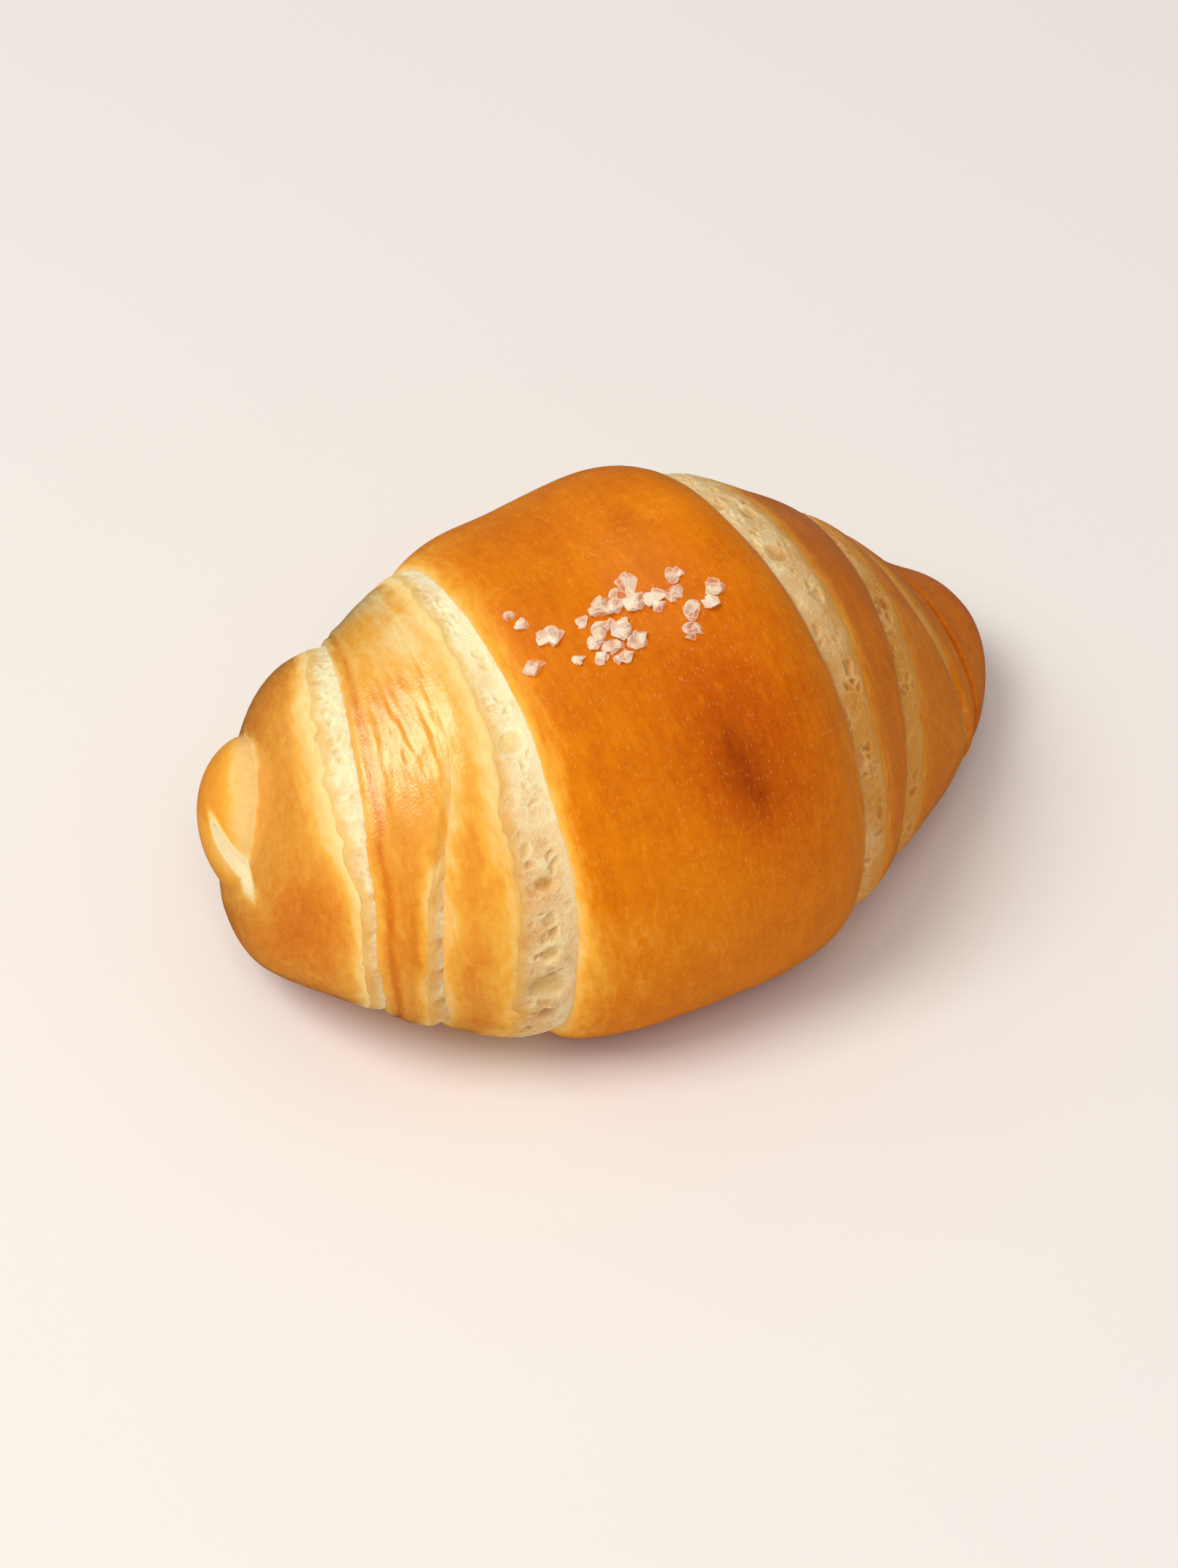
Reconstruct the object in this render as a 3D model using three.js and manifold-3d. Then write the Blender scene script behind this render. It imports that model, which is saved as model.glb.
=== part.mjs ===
// A salt bread roll: a long triangle of dough wound up and baked until its winds have pulled apart
// along their edges, with a pinch of coarse salt on top. It is one piece, so it is one solid.
// Millimetres, +Z up. The roll lies along X, its base stands on z = 0, and the origin is under
// the middle of its bounding box.

import * as THREE from 'three';
import * as BufferGeometryUtils from 'three/addons/utils/BufferGeometryUtils.js';
import Module from 'manifold-3d';

const wasm = await Module();
wasm.setup();

// The plain form before its bands: half width, height, lift of the underside and how far its middle
// lies sideways, at places along X. The roll is a little curved, like a crescent. The first and last
// rows are the sizes that the two ends would have if they weren't closed.
const STATIONS = [
  { x: -55.8, halfWidth: 28.6, height: 27.4, lift: 0.1, sideways: 11.4 },
  { x: -47, halfWidth: 32.6, height: 34.4, lift: 7.9, sideways: 6.4 },
  { x: -36, halfWidth: 31.9, height: 42.1, lift: 4.9, sideways: 2.5 },
  { x: -22, halfWidth: 35.7, height: 51.8, lift: 0, sideways: 1 },
  { x: -5, halfWidth: 36.3, height: 55.3, lift: 0, sideways: -1 },
  { x: 12, halfWidth: 34.1, height: 60.8, lift: 0, sideways: -3 },
  { x: 28, halfWidth: 27.5, height: 49.7, lift: 0, sideways: -1.1 },
  { x: 42, halfWidth: 23.9, height: 35.1, lift: 0.9, sideways: 2.5 },
  { x: 52, halfWidth: 20.8, height: 27.1, lift: 0, sideways: 3.7 },
  { x: 60, halfWidth: 20.2, height: 24.7, lift: 1.8, sideways: 5.5 },
];
const BLUNT_END = STATIONS.at(0).x;
const FAR_END = STATIONS.at(-1).x;
const END_FULLNESS = 5; // how late and how roundly the ends close
const SKEW = 7; // how far the front of the blunt end leans out past its middle
const SKEW_LENGTH = 45; // the lean grows from nothing at x = 0 to its full size this far left
const BELLY_LEVEL = 0.42; // the widest level, as a share of the local height
const TOP_CURVE = { side: 0.95, level: 1 }; // exponents of the cross-section above the belly
const FOOT_CURVE = { side: 0.78, level: 0.8 }; // below the belly it is squarer
const BASE_FLAT = 1.1; // how much of the round underside the baking tray has pressed flat

// Where one wind of dough ends over the next. Each edge is a tilted ring: its x is top
// + tilt * sin(a) + bend * (1 - cos(a)), where a is the angle from the top towards the back. A fold
// lies between its neighbours instead, at a share of the way. The wind below starts drop under the
// edge, and its pale torn crumb rises to the crust over a width, tear. The rounded edge itself has
// the radius lip. Each three values are those on the back, on the top and at the front foot.
const EDGES = [
  { towards: -1, top: -39.3, tilt: 3.5, bend: 0.2, drop: [1.2, 2, 0.8], tear: [3, 3.6, 1.6], lip: 1.1 },
  { towards: -1, between: [0.55, 0.55, 0.34], drop: [0.03, 0.03, 1.2], tear: [1.2, 1.2, 1.6], lip: 1 },
  { towards: -1, top: -19.9, tilt: 1, bend: -2.3, drop: [1.1, 2.4, 2.9], tear: [3.4, 4.3, 6.2], lip: 1.7 },
  { towards: 1, top: 15.8, tilt: -2.7, bend: -1.6, drop: [2.6, 2.6, 2.6], tear: [9.5, 9.5, 4.8], lip: 1.7 },
  { towards: 1, top: 35.6, tilt: 4.1, bend: -4.1, drop: [2.1, 2.1, 1.9], tear: [4.6, 4.6, 4.2], lip: 1.4 },
  { towards: 1, top: 42.8, tilt: -2, bend: 1.1, drop: [1.3, 1.3, 1.1], tear: [2.8, 2.8, 2], lip: 0.8 },
  { towards: 1, top: 49.6, tilt: -1, bend: -1.4, drop: [1.5, 1.5, 1.3], tear: [1.6, 1.6, 1.4], lip: 1 },
];
const FRONT_BLEND = [Math.PI / 18, Math.PI / 3]; // angles from the top where the values blend
const BACK_BLEND = [Math.PI / 12, Math.PI / 3.6];
const TUCK = 0.25; // how far a tear starts under its edge, as a share of the drop
const LIP_OF_DROP = 0.75; // a rounded edge takes at most this share of its drop
const MOST_SHARE = 0.46; // an edge or a tear takes at most this share of its band

// How far each band swells above the plain form between its edges, from left to right, on the back,
// on the top and at the front foot, and where its middle rows of points lie, as shares of what its
// edges and tears leave. The two bands beside the fold are one smooth wind on the top.
const END_ROWS = [0.02, 0.08, 0.18, 0.32, 0.5, 0.74];
const BANDS = [
  { swell: [0.8, 0.8, 0.8], rows: END_ROWS },
  { swell: [0.1, 0.1, 0.6], rows: [0.33, 0.67] },
  { swell: [0.1, 0.1, 0.4], rows: [0.5] },
  { swell: [1.9, 1.9, 1.9], rows: [0.2, 0.4, 0.6, 0.8] },
  { swell: [0.6, 0.6, 0.6], rows: [0.33, 0.67] },
  { swell: [0.5, 0.5, 0.5], rows: [0.5] },
  { swell: [0.3, 0.3, 0.3], rows: [0.5] },
  { swell: [0, 0, 0], rows: END_ROWS.map((share) => 1 - share).reverse() },
];
const DOME_POWER = 4; // the higher, the flatter the middle of a band's swell
const CENTRE_BAND = 3;
const LIP_ROWS = [0, 0.4, 1.4]; // rows across a rounded edge, in its radius
const TEAR_ROWS = [0, 0.5, 1]; // rows across a tear, as shares of its width
const STEPS_ROUND = 66; // columns of points round the girth

// The end of the innermost wind shows at the blunt end as a knob, with a slit torn across its foot.
const KNOB = { centre: [-46.6, 13, 21.1], radii: [9.9, 12, 13.6], steps: [18, 12] };
const SLIT = { centre: [-55.1, 8.1, 23.9], radii: [5.6, 3.2, 0.8], steps: [12, 8] };
const SLIT_ALONG = [0.22, -0.79, -0.57];
const SLIT_INWARD = [0.8, 0.48, -0.36];

// Grains of salt on the centre band: place along and across the roll, and size.
const SALT_GRAINS = [
  [-16, 2, 1.4], [-15.4, -0.5, 1.5], [-13.9, -4.1, 2.3], [-12.7, -4.5, 2.2], [-16.7, -7, 2.3],
  [-9, -4, 1.6], [-11.9, -8.7, 1.6], [-6.3, -3.9, 2.9], [-2, -2.5, 2.8], [-4, -4.3, 2.6],
  [-2.3, -5, 2.7], [-5.1, -7, 1.6], [-0.2, -6.3, 2.8], [1.5, -6.9, 2.2], [3.1, -4.8, 2.1],
  [6, -9, 2.3], [4.8, -10.8, 2.2], [2.5, -10.5, 2.3], [1.2, -12.4, 2.2], [-7.5, -6.6, 2.8],
  [-6.1, -8, 2.6], [-9.1, -7.8, 2.1], [-7.7, -9.2, 2.1], [-4.9, -10.2, 2.3], [-7.2, -11, 2],
  [-9.7, -10, 1.6],
];
const GRAIN_SQUASH = 0.8; // a grain's height, as a share of its width
const GRAIN_CHIP = 0.16; // how far a grain's corners are chipped in or out
const GRAIN_SUNK = 0.3; // how much of its half height is baked into the crust

const { clamp, lerp, smoothstep } = THREE.MathUtils;

// A repeatable random number from 0 to 1, so that the grains come out alike each time.
let randomState = 20;
function random() {
  randomState = (randomState * 16807) % 2147483647;
  return randomState / 2147483647;
}

// The smooth curve of one size along the stations, with three-point slopes.
function stationCurve(size) {
  const xs = STATIONS.map((station) => station.x);
  const ys = STATIONS.map((station) => station[size]);
  const last = xs.length - 1;
  const rise = (i) => (ys[i + 1] - ys[i]) / (xs[i + 1] - xs[i]);
  const slopes = xs.map((_, i) => (rise(Math.max(i - 1, 0)) + rise(Math.min(i, last - 1))) / 2);
  return (x) => {
    let i = 0;
    while (i < last - 1 && x > xs[i + 1]) i += 1;
    const width = xs[i + 1] - xs[i];
    const t = (x - xs[i]) / width;
    const startShare = 1 + t * t * (2 * t - 3);
    const startBend = t * (1 - t) * (1 - t) * width * slopes[i];
    const endBend = t * t * (t - 1) * width * slopes[i + 1];
    return startShare * ys[i] + (1 - startShare) * ys[i + 1] + startBend + endBend;
  };
}

const halfWidthAt = stationCurve('halfWidth');
const heightAt = stationCurve('height');
const liftAt = stationCurve('lift');
const sidewaysAt = stationCurve('sideways');

// The point of the roll at place x and angle a, raised above the plain form by rise.
function surfacePoint(x, a, rise) {
  const reach = Math.abs(x < 0 ? x / BLUNT_END : x / FAR_END);
  const closing = Math.sqrt(Math.max(1 - reach ** END_FULLNESS, 0));
  const belly = liftAt(x) + heightAt(x) * BELLY_LEVEL;
  const up = Math.cos(a);
  const across = Math.sin(a);
  const curve = up > 0 ? TOP_CURVE : FOOT_CURVE;
  const wide = halfWidthAt(x) * closing;
  const tall = heightAt(x) * closing * (up > 0 ? 1 - BELLY_LEVEL : BELLY_LEVEL);
  const radius = Math.hypot(wide * across, tall * up);
  const swollen = radius > 0 ? Math.max(1 + rise / radius, 0) : 0;
  const y = wide * Math.sign(across) * Math.abs(across) ** curve.side * swollen;
  const z = tall * Math.sign(up) * Math.abs(up) ** curve.level * swollen;
  const lean = (SKEW * smoothstep(-x / SKEW_LENGTH, 0, 1) * y) / halfWidthAt(x);
  const sideways = sidewaysAt(clamp(x + lean, BLUNT_END, FAR_END));
  return new THREE.Vector3(x + lean, y + sideways, belly + z);
}

// The value at an angle, from those on the back, on the top and at the front foot.
function roundGirth([back, top, front], a) {
  const toFront = smoothstep(-a, ...FRONT_BLEND);
  const toBack = smoothstep(a, ...BACK_BLEND);
  return top + (front - top) * toFront + (back - top) * toBack;
}

// The x of both ends and of every edge between them, at an angle.
function bandLimits(a) {
  const ring = ({ top, tilt, bend }) => top + tilt * Math.sin(a) + bend * (1 - Math.cos(a));
  const places = EDGES.map((edge) => (edge.between ? null : ring(edge)));
  EDGES.forEach((edge, i) => {
    if (edge.between) places[i] = lerp(places[i - 1], places[i + 1], roundGirth(edge.between, a));
  });
  return [BLUNT_END, ...places, FAR_END];
}

// What a band does at its left side (-1) or right side (1), at an angle: its own rounded edge, the
// tear where it comes out from under a neighbour, or nothing at an end of the roll. It gives the
// distances of its rows of points from that side, and how far it lowers a point there.
function bandSide(band, side, a, width) {
  const edge = EDGES[side < 0 ? band - 1 : band];
  if (edge === undefined) return { rows: [], lower: () => 0 };
  const drop = roundGirth(edge.drop, a);
  if (edge.towards === side) {
    const radius = Math.min(edge.lip, drop * LIP_OF_DROP, width * MOST_SHARE);
    const lower = (distance) => {
      const t = Math.max(1 - distance / radius, 0);
      return radius * (1 - Math.sqrt(1 - t * t));
    };
    return { rows: LIP_ROWS.map((row) => Math.min(row * radius, width * MOST_SHARE)), lower };
  }
  const torn = Math.min(roundGirth(edge.tear, a), width * MOST_SHARE);
  const lower = (distance) => drop * (1 - smoothstep(distance / torn, 0, 1));
  return { rows: [-TUCK * drop, ...TEAR_ROWS.slice(1).map((row) => row * torn)], lower };
}

// How far a band swells at an angle and a distance from its left side.
function swellAt(band, a, distance, width) {
  return roundGirth(BANDS[band].swell, a) * (1 - (2 * distance / width - 1) ** DOME_POWER);
}

// One row of points along the whole roll, from end to end, at an angle.
function lengthwiseRow(a) {
  const limits = bandLimits(a);
  const points = [];
  BANDS.forEach(({ rows }, band) => {
    const width = limits[band + 1] - limits[band];
    const left = bandSide(band, -1, a, width);
    const right = bandSide(band, 1, a, width);
    const from = left.rows.at(-1) ?? 0;
    const to = width - (right.rows.at(-1) ?? 0);
    const middle = rows.map((share) => lerp(from, to, share));
    const rightRows = right.rows.map((row) => width - row).reverse();
    [...left.rows, ...middle, ...rightRows].forEach((d) => {
      const rise = swellAt(band, a, d, width) - left.lower(d) - right.lower(width - d);
      points.push(surfacePoint(limits[band] + d, a, rise));
    });
  });
  return points;
}

// The closed skin of the wound roll.
function rollGeometry() {
  const rows = [];
  for (let i = 0; i < STEPS_ROUND; i += 1) {
    rows.push(lengthwiseRow(2 * Math.PI * (i / STEPS_ROUND - 0.5)));
  }
  const count = rows[0].length;
  const points = [...rows.flat(), surfacePoint(BLUNT_END, 0, 0), surfacePoint(FAR_END, 0, 0)];
  const bluntTip = points.length - 2;
  const farTip = points.length - 1;
  const faces = [];
  for (let i = 0; i < STEPS_ROUND; i += 1) {
    const here = i * count;
    const next = ((i + 1) % STEPS_ROUND) * count;
    faces.push(bluntTip, here, next);
    for (let j = 0; j < count - 1; j += 1) {
      faces.push(here + j, here + j + 1, next + j + 1, here + j, next + j + 1, next + j);
    }
    faces.push(farTip, next + count - 1, here + count - 1);
  }
  points.forEach((point) => point.setZ(Math.max(point.z, BASE_FLAT)));
  return new THREE.BufferGeometry().setFromPoints(points).setIndex(faces);
}

// An egg shape of the given radii, which lies along the axes.
function eggGeometry({ radii, steps }) {
  return new THREE.SphereGeometry(1, ...steps).scale(...radii);
}

// The thin lens that cuts the slit.
function slitGeometry() {
  const along = new THREE.Vector3(...SLIT_ALONG).normalize();
  const inward = new THREE.Vector3(...SLIT_INWARD).normalize();
  const across = new THREE.Vector3().crossVectors(along, inward);
  const turn = new THREE.Matrix4().makeBasis(along, inward, across);
  return eggGeometry(SLIT).applyMatrix4(turn).translate(...SLIT.centre);
}

// A grain of coarse salt: a broken crystal with flat sides, baked a little into the crust.
function grainGeometry([x, y, size]) {
  const crystal = mergedCorners(new THREE.IcosahedronGeometry(size / 2, 0));
  const corner = new THREE.Vector3();
  const places = crystal.attributes.position;
  for (let i = 0; i < places.count; i += 1) {
    corner.fromBufferAttribute(places, i).multiplyScalar(1 + GRAIN_CHIP * (2 * random() - 1));
    places.setXYZ(i, corner.x, corner.y, corner.z);
  }
  crystal.rotateX(2 * Math.PI * random());
  crystal.rotateY(2 * Math.PI * random());
  crystal.scale(1, 1, GRAIN_SQUASH);
  const a = Math.asin(Math.sign(y) * Math.abs(y / halfWidthAt(x)) ** (1 / TOP_CURVE.side));
  const [from, to] = bandLimits(a).slice(CENTRE_BAND);
  const seat = surfacePoint(x, a, swellAt(CENTRE_BAND, a, x - from, to - from));
  const halfHeight = (size / 2) * GRAIN_SQUASH;
  return crystal.translate(seat.x, seat.y, seat.z + halfHeight * (1 - 2 * GRAIN_SUNK));
}

// The same shape with its corners merged, so that it is closed.
function mergedCorners(geometry) {
  const bare = geometry.clone();
  bare.deleteAttribute('normal');
  bare.deleteAttribute('uv');
  return BufferGeometryUtils.mergeVertices(bare, 1e-4);
}

// A closed shape as a solid that can be joined and cut.
function solidFrom(geometry) {
  const closed = mergedCorners(geometry);
  const vertProperties = new Float32Array(closed.attributes.position.array);
  const triVerts = new Uint32Array(closed.index.array);
  return new wasm.Manifold(new wasm.Mesh({ numProp: 3, vertProperties, triVerts }));
}

// A joined solid as a geometry again.
function geometryFrom(solid) {
  const mesh = solid.getMesh();
  const geometry = new THREE.BufferGeometry();
  geometry.setAttribute('position', new THREE.BufferAttribute(mesh.vertProperties, 3));
  geometry.setIndex(new THREE.BufferAttribute(mesh.triVerts, 1));
  return geometry;
}

// The largest shell of a solid, without the hollows and scraps that joining may close off.
function outerShell(solid) {
  return solid.decompose().sort((one, other) => other.volume() - one.volume())[0];
}

// The whole bread: the knob is joined to the roll, the slit is cut and the salt is fused on.
function breadGeometry() {
  const knob = solidFrom(eggGeometry(KNOB).translate(...KNOB.centre));
  let bread = solidFrom(rollGeometry()).add(knob).subtract(solidFrom(slitGeometry()));
  SALT_GRAINS.forEach((grain) => {
    bread = bread.add(solidFrom(grainGeometry(grain)));
  });
  const geometry = geometryFrom(outerShell(bread));
  geometry.computeBoundingBox();
  const { min, max } = geometry.boundingBox;
  return geometry.translate(-(min.x + max.x) / 2, -(min.y + max.y) / 2, -min.z);
}

function bakedCrust() {
  return new THREE.MeshStandardMaterial({ color: '#d98420', roughness: 0.42, metalness: 0 });
}

const bread = new THREE.Mesh(breadGeometry(), bakedCrust());
bread.name = 'salt_bread_roll';

const saltBread = new THREE.Group();
saltBread.add(bread);

export default saltBread;
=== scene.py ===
"""A salt bread roll: a wound, baked roll with torn seams and coarse salt on top.

Metres in Blender, millimetres in the tables below. The roll lies along X, its blunt end with the
knob towards -X, and -Y is its front. It rests on z = 0.
"""

import math
import random

import bmesh
import bpy
import numpy as np
from mathutils import Matrix, Vector, noise
from mathutils.bvhtree import BVHTree


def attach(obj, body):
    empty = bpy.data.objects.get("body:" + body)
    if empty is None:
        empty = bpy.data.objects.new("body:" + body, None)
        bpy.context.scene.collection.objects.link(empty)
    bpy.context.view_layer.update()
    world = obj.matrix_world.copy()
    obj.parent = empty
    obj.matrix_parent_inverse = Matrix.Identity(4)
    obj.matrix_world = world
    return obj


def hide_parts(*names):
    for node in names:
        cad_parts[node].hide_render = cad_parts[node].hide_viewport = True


bl_info = {
    "name": "Salt bread roll",
    "version": (1, 0, 0),
    "blender": (4, 5, 0),
    "location": "3D View > Sidebar > Salt Bread",
    "description": "Makes a wound salt bread roll with torn seams and coarse salt",
    "category": "Add Mesh",
}

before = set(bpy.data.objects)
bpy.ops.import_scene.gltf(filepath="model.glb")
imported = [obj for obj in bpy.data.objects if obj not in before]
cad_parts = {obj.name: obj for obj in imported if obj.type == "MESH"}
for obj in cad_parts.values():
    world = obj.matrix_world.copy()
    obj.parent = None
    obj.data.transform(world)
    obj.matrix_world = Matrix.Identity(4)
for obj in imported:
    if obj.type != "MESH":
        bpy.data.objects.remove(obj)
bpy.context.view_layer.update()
NODE = "salt_bread_roll"
BODY = "root"
MM = 0.001

# The plain form before its bands, in rows of x, half width, height, lift of the underside and how
# far its middle lies sideways. The first and last rows are the sizes that the two ends would have
# if they weren't closed.
STATIONS = np.array([
    [-55.8, 28.6, 27.4, 0.1, 11.4],
    [-47, 32.6, 34.4, 7.9, 6.4],
    [-36, 31.9, 42.1, 4.9, 2.5],
    [-22, 35.7, 51.8, 0, 1],
    [-5, 36.3, 55.3, 0, -1],
    [12, 34.1, 60.8, 0, -3],
    [28, 27.5, 49.7, 0, -1.1],
    [42, 23.9, 35.1, 0.9, 2.5],
    [52, 20.8, 27.1, 0, 3.7],
    [60, 20.2, 24.7, 1.8, 5.5],
])
HALF_WIDTH, HEIGHT, LIFT, SIDEWAYS = 1, 2, 3, 4
BLUNT_END, FAR_END = STATIONS[0, 0], STATIONS[-1, 0]
END_FULLNESS = 5  # how late and how roundly the ends close
SKEW = 7  # how far the front of the blunt end leans out past its middle
SKEW_LENGTH = 45  # the lean grows from nothing at x = 0 to its full size this far left
BELLY_LEVEL = 0.42  # the widest level, as a share of the local height
TOP_CURVE = (0.95, 1)  # exponents of the cross-section above the belly, sideways and upwards
FOOT_CURVE = (0.78, 0.8)  # below the belly it is squarer
BASE_FLAT = 1.1  # how much of the round underside the baking tray has pressed flat
FORM_MIDDLE = np.array([1.53, -0.83, BASE_FLAT])  # the form's point that the origin lies under

# Where one wind of dough ends over the next. Each edge is a tilted ring: its x is top
# + tilt * sin(a) + bend * (1 - cos(a)), where a is the angle from the top towards the back. A fold
# lies between its neighbours, at a share of the way. The wind below starts drop under the edge and
# rises to the crust over a width, tear. bare is the share of that width which shows torn crumb,
# and toast how brown the oven has made it. Each three values are those on the back, on the top and
# at the front foot. ragged is how unevenly the crust ends over the crumb, and rolled how much of
# the pale dough the rounded edge shows.
EDGES = [
    {"towards": -1, "top": -39.3, "tilt": 3.5, "bend": 0.2, "drop": (1.2, 2, 0.8),
     "tear": (3, 3.6, 1.6), "lip": 1.1, "bare": (0.8, 1.15, 1), "toast": (0.1, 0.02, 0.35),
     "ragged": 0.4, "rolled": 0.3},
    {"towards": -1, "between": (0.55, 0.55, 0.34), "drop": (0.03, 0.03, 1.2),
     "tear": (1.2, 1.2, 1.6), "lip": 1, "bare": (-2, -2, 1.05), "toast": (0.3, 0.3, 0.4),
     "ragged": 0.4, "rolled": 0.2},
    {"towards": -1, "top": -19.9, "tilt": 1, "bend": -2.3, "drop": (1.1, 2.4, 2.9),
     "tear": (3.4, 4.3, 6.2), "lip": 1.7, "bare": (0.9, 1.15, 1.05), "toast": (0.1, 0, 0.4),
     "ragged": 0.35, "rolled": 0.7},
    {"towards": 1, "top": 15.8, "tilt": -2.7, "bend": -1.6, "drop": (2.6, 2.6, 2.6),
     "tear": (9.5, 9.5, 4.8), "lip": 1.7, "bare": (0.85, 0.8, 0.9), "toast": (0.35, 0.45, 0.85),
     "ragged": 0.25, "rolled": 0.15},
    {"towards": 1, "top": 35.6, "tilt": 4.1, "bend": -4.1, "drop": (2.1, 2.1, 1.9),
     "tear": (4.6, 4.6, 4.2), "lip": 1.4, "bare": (0.9, 0.95, 0.85), "toast": (0.8, 0.85, 1),
     "ragged": 0.35, "rolled": 0.1},
    {"towards": 1, "top": 42.8, "tilt": -2, "bend": 1.1, "drop": (1.3, 1.3, 1.1),
     "tear": (2.8, 2.8, 2), "lip": 0.8, "bare": (0.4, 0.5, 0.2), "toast": (0.8, 0.9, 1),
     "ragged": 0.4, "rolled": 0},
    {"towards": 1, "top": 49.6, "tilt": -1, "bend": -1.4, "drop": (1.5, 1.5, 1.3),
     "tear": (1.6, 1.6, 1.4), "lip": 1, "bare": (0, 0, 0), "toast": (0.9, 0.9, 1),
     "ragged": 0.5, "rolled": 0},
]
EDGE_WAVES = 14  # long waves of an edge round the girth
FINE_WAVES = 70  # and fine ones, a fifth as high
FOLD_WAVES = 20
ROLLED_WIDTH = 0.7  # how far over a rounded edge the pale dough reaches
FRONT_BLEND = (math.radians(10), math.radians(60))  # angles from the top where values blend
BACK_BLEND = (math.radians(15), math.radians(50))
TUCK = 0.25  # how far a tear starts under its edge, as a share of the drop
LIP_OF_DROP = 0.75  # a rounded edge takes at most this share of its drop
MOST_SHARE = 0.46  # an edge or a tear takes at most this share of its band
MOST_ROWS = 0.49  # and the rows of points along a tear at most this share
DOME_POWER = 4  # the higher, the flatter the middle of a band's swell
LIP_ROWS = (0, 0.12, 0.3, 0.55, 0.9, 1.4)  # rows across a rounded edge, in its radius
TEAR_ROWS = np.linspace(0.14, 1.25, 8)  # rows across a tear, in its width
END_POWER = 1.8  # how much closer the rows lie near the two tips
SHOWN_ANGLES = (-2.2, 2.1)  # the roll shows between these angles from the top, in radians
SHOWN_BLEND = 0.4  # and the columns of points grow sparser over this much
COLUMNS_HIDDEN = 0.55  # how closely they lie where it doesn't show
COLUMNS_SHOWN = 0.7  # and how much closer where it does

# The bands from left to right: how far each swells above the plain form and how brown its crust is
# (0 raw, 1 burnt), both on the back, on the top and at the front foot, its rows of points, and how
# much paler it is at its left and right edge, with the width of that paler strip. pulled is the
# width beside each edge where the skin is drawn into strands. folds are thin ridges along the
# wind: distance from its left side, width, height and how much browner. glaze is how much of the
# butter glaze has stayed on it.
BANDS = [
    {"swell": (0.8, 0.8, 0.8), "rows": 22, "bake": (0.54, 0.49, 0.58), "glaze": 0.9,
     "left": (0, 1), "right": (0.24, 3.6), "pulled": (0, 3),
     "folds": ()},
    {"swell": (0.1, 0.1, 0.6), "rows": 28, "bake": (0.35, 0.49, 0.54), "glaze": 0.9,
     "left": (0.05, 0.9), "right": (0.1, 2.4), "pulled": (4, 3),
     "folds": ((1.5, 0.4, -0.22, 0.11), (2.6, 0.5, 0.1, -0.02), (4.4, 0.6, -0.04, 0.01))},
    {"swell": (0.1, 0.1, 0.4), "rows": 10, "bake": (0.44, 0.5, 0.52), "glaze": 0.7,
     "left": (0.12, 2), "right": (0.04, 3), "pulled": (2, 4),
     "folds": ((2.6, 0.6, -0.06, 0.02), (4.4, 0.7, 0.06, -0.02))},
    {"swell": (1.9, 1.9, 1.9), "rows": 34, "bake": (0.63, 0.65, 0.63), "glaze": 0,
     "left": (0.14, 2.6), "right": (0.04, 2.5), "pulled": (6, 2),
     "folds": ()},
    {"swell": (0.6, 0.6, 0.6), "rows": 12, "bake": (0.7, 0.69, 0.66), "glaze": 0.05,
     "left": (0.12, 3), "right": (0.02, 1), "pulled": (3, 1),
     "folds": ()},
    {"swell": (0.5, 0.5, 0.5), "rows": 8, "bake": (0.66, 0.66, 0.62), "glaze": 0.05,
     "left": (0.07, 2), "right": (0.03, 0.8), "pulled": (2, 1),
     "folds": ()},
    {"swell": (0.3, 0.3, 0.3), "rows": 6, "bake": (0.68, 0.68, 0.64), "glaze": 0.05,
     "left": (0.05, 1.5), "right": (0.03, 0.6), "pulled": (2, 1),
     "folds": ()},
    {"swell": (0, 0, 0), "rows": 18, "bake": (0.7, 0.7, 0.68), "glaze": 0.05,
     "left": (-0.1, 1.4), "right": (0, 1), "pulled": (1, 0),
     "folds": ()},
]
PULL = 0.75  # how strongly the strands show right beside an edge

# Browner (+) and paler (-) patches of crust: x, angle from the top towards the back in degrees,
# half length along x, half length round the girth in degrees, and how much.
PATCHES = [
    (-1.4, -41, 1.7, 6, 0.08),
    (-0.3, -46, 1.8, 6, 0.07),
    (0.4, -55, 1.6, 8, 0.1),
    (0.5, -50, 8, 20, 0.16),
    (-5, -25, 9, 14, 0.05),
    (-14, -79, 6, 12, -0.05),
    (-19.5, -62, 1.8, 14, 0.06),
    (-31, 18, 6, 12, -0.12),
    (2.8, 10, 1.8, 6, 0.07),
    (5, -40, 11, 32, 0.06),
    (-38, -70, 1.3, 20, 0.1),
    (-48, -60, 5, 20, 0.05),
]

# Wrinkled patches, where the skin of a wind has crept: x, angle and half lengths as above, and the
# height of the wrinkles.
WRINKLES = [(-33.5, -8, 5, 20, 0.3)]
WRINKLE_WIDTH = 0.7
FAINT_WRINKLE = 0.02  # a row of points on which a patch is fainter than this has none of it
UNDULATION = 0.16  # height of the soft unevenness along each wind
UNDULATION_WIDTH = 5
GRAIN_REACH = 7  # how much the strands are drawn out: their noise sees the girth this small

# The underside lies on the hot tray and is browner.
TRAY_BROWN = 0.16
TRAY_ANGLES = (math.radians(112), math.radians(135))

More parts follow.
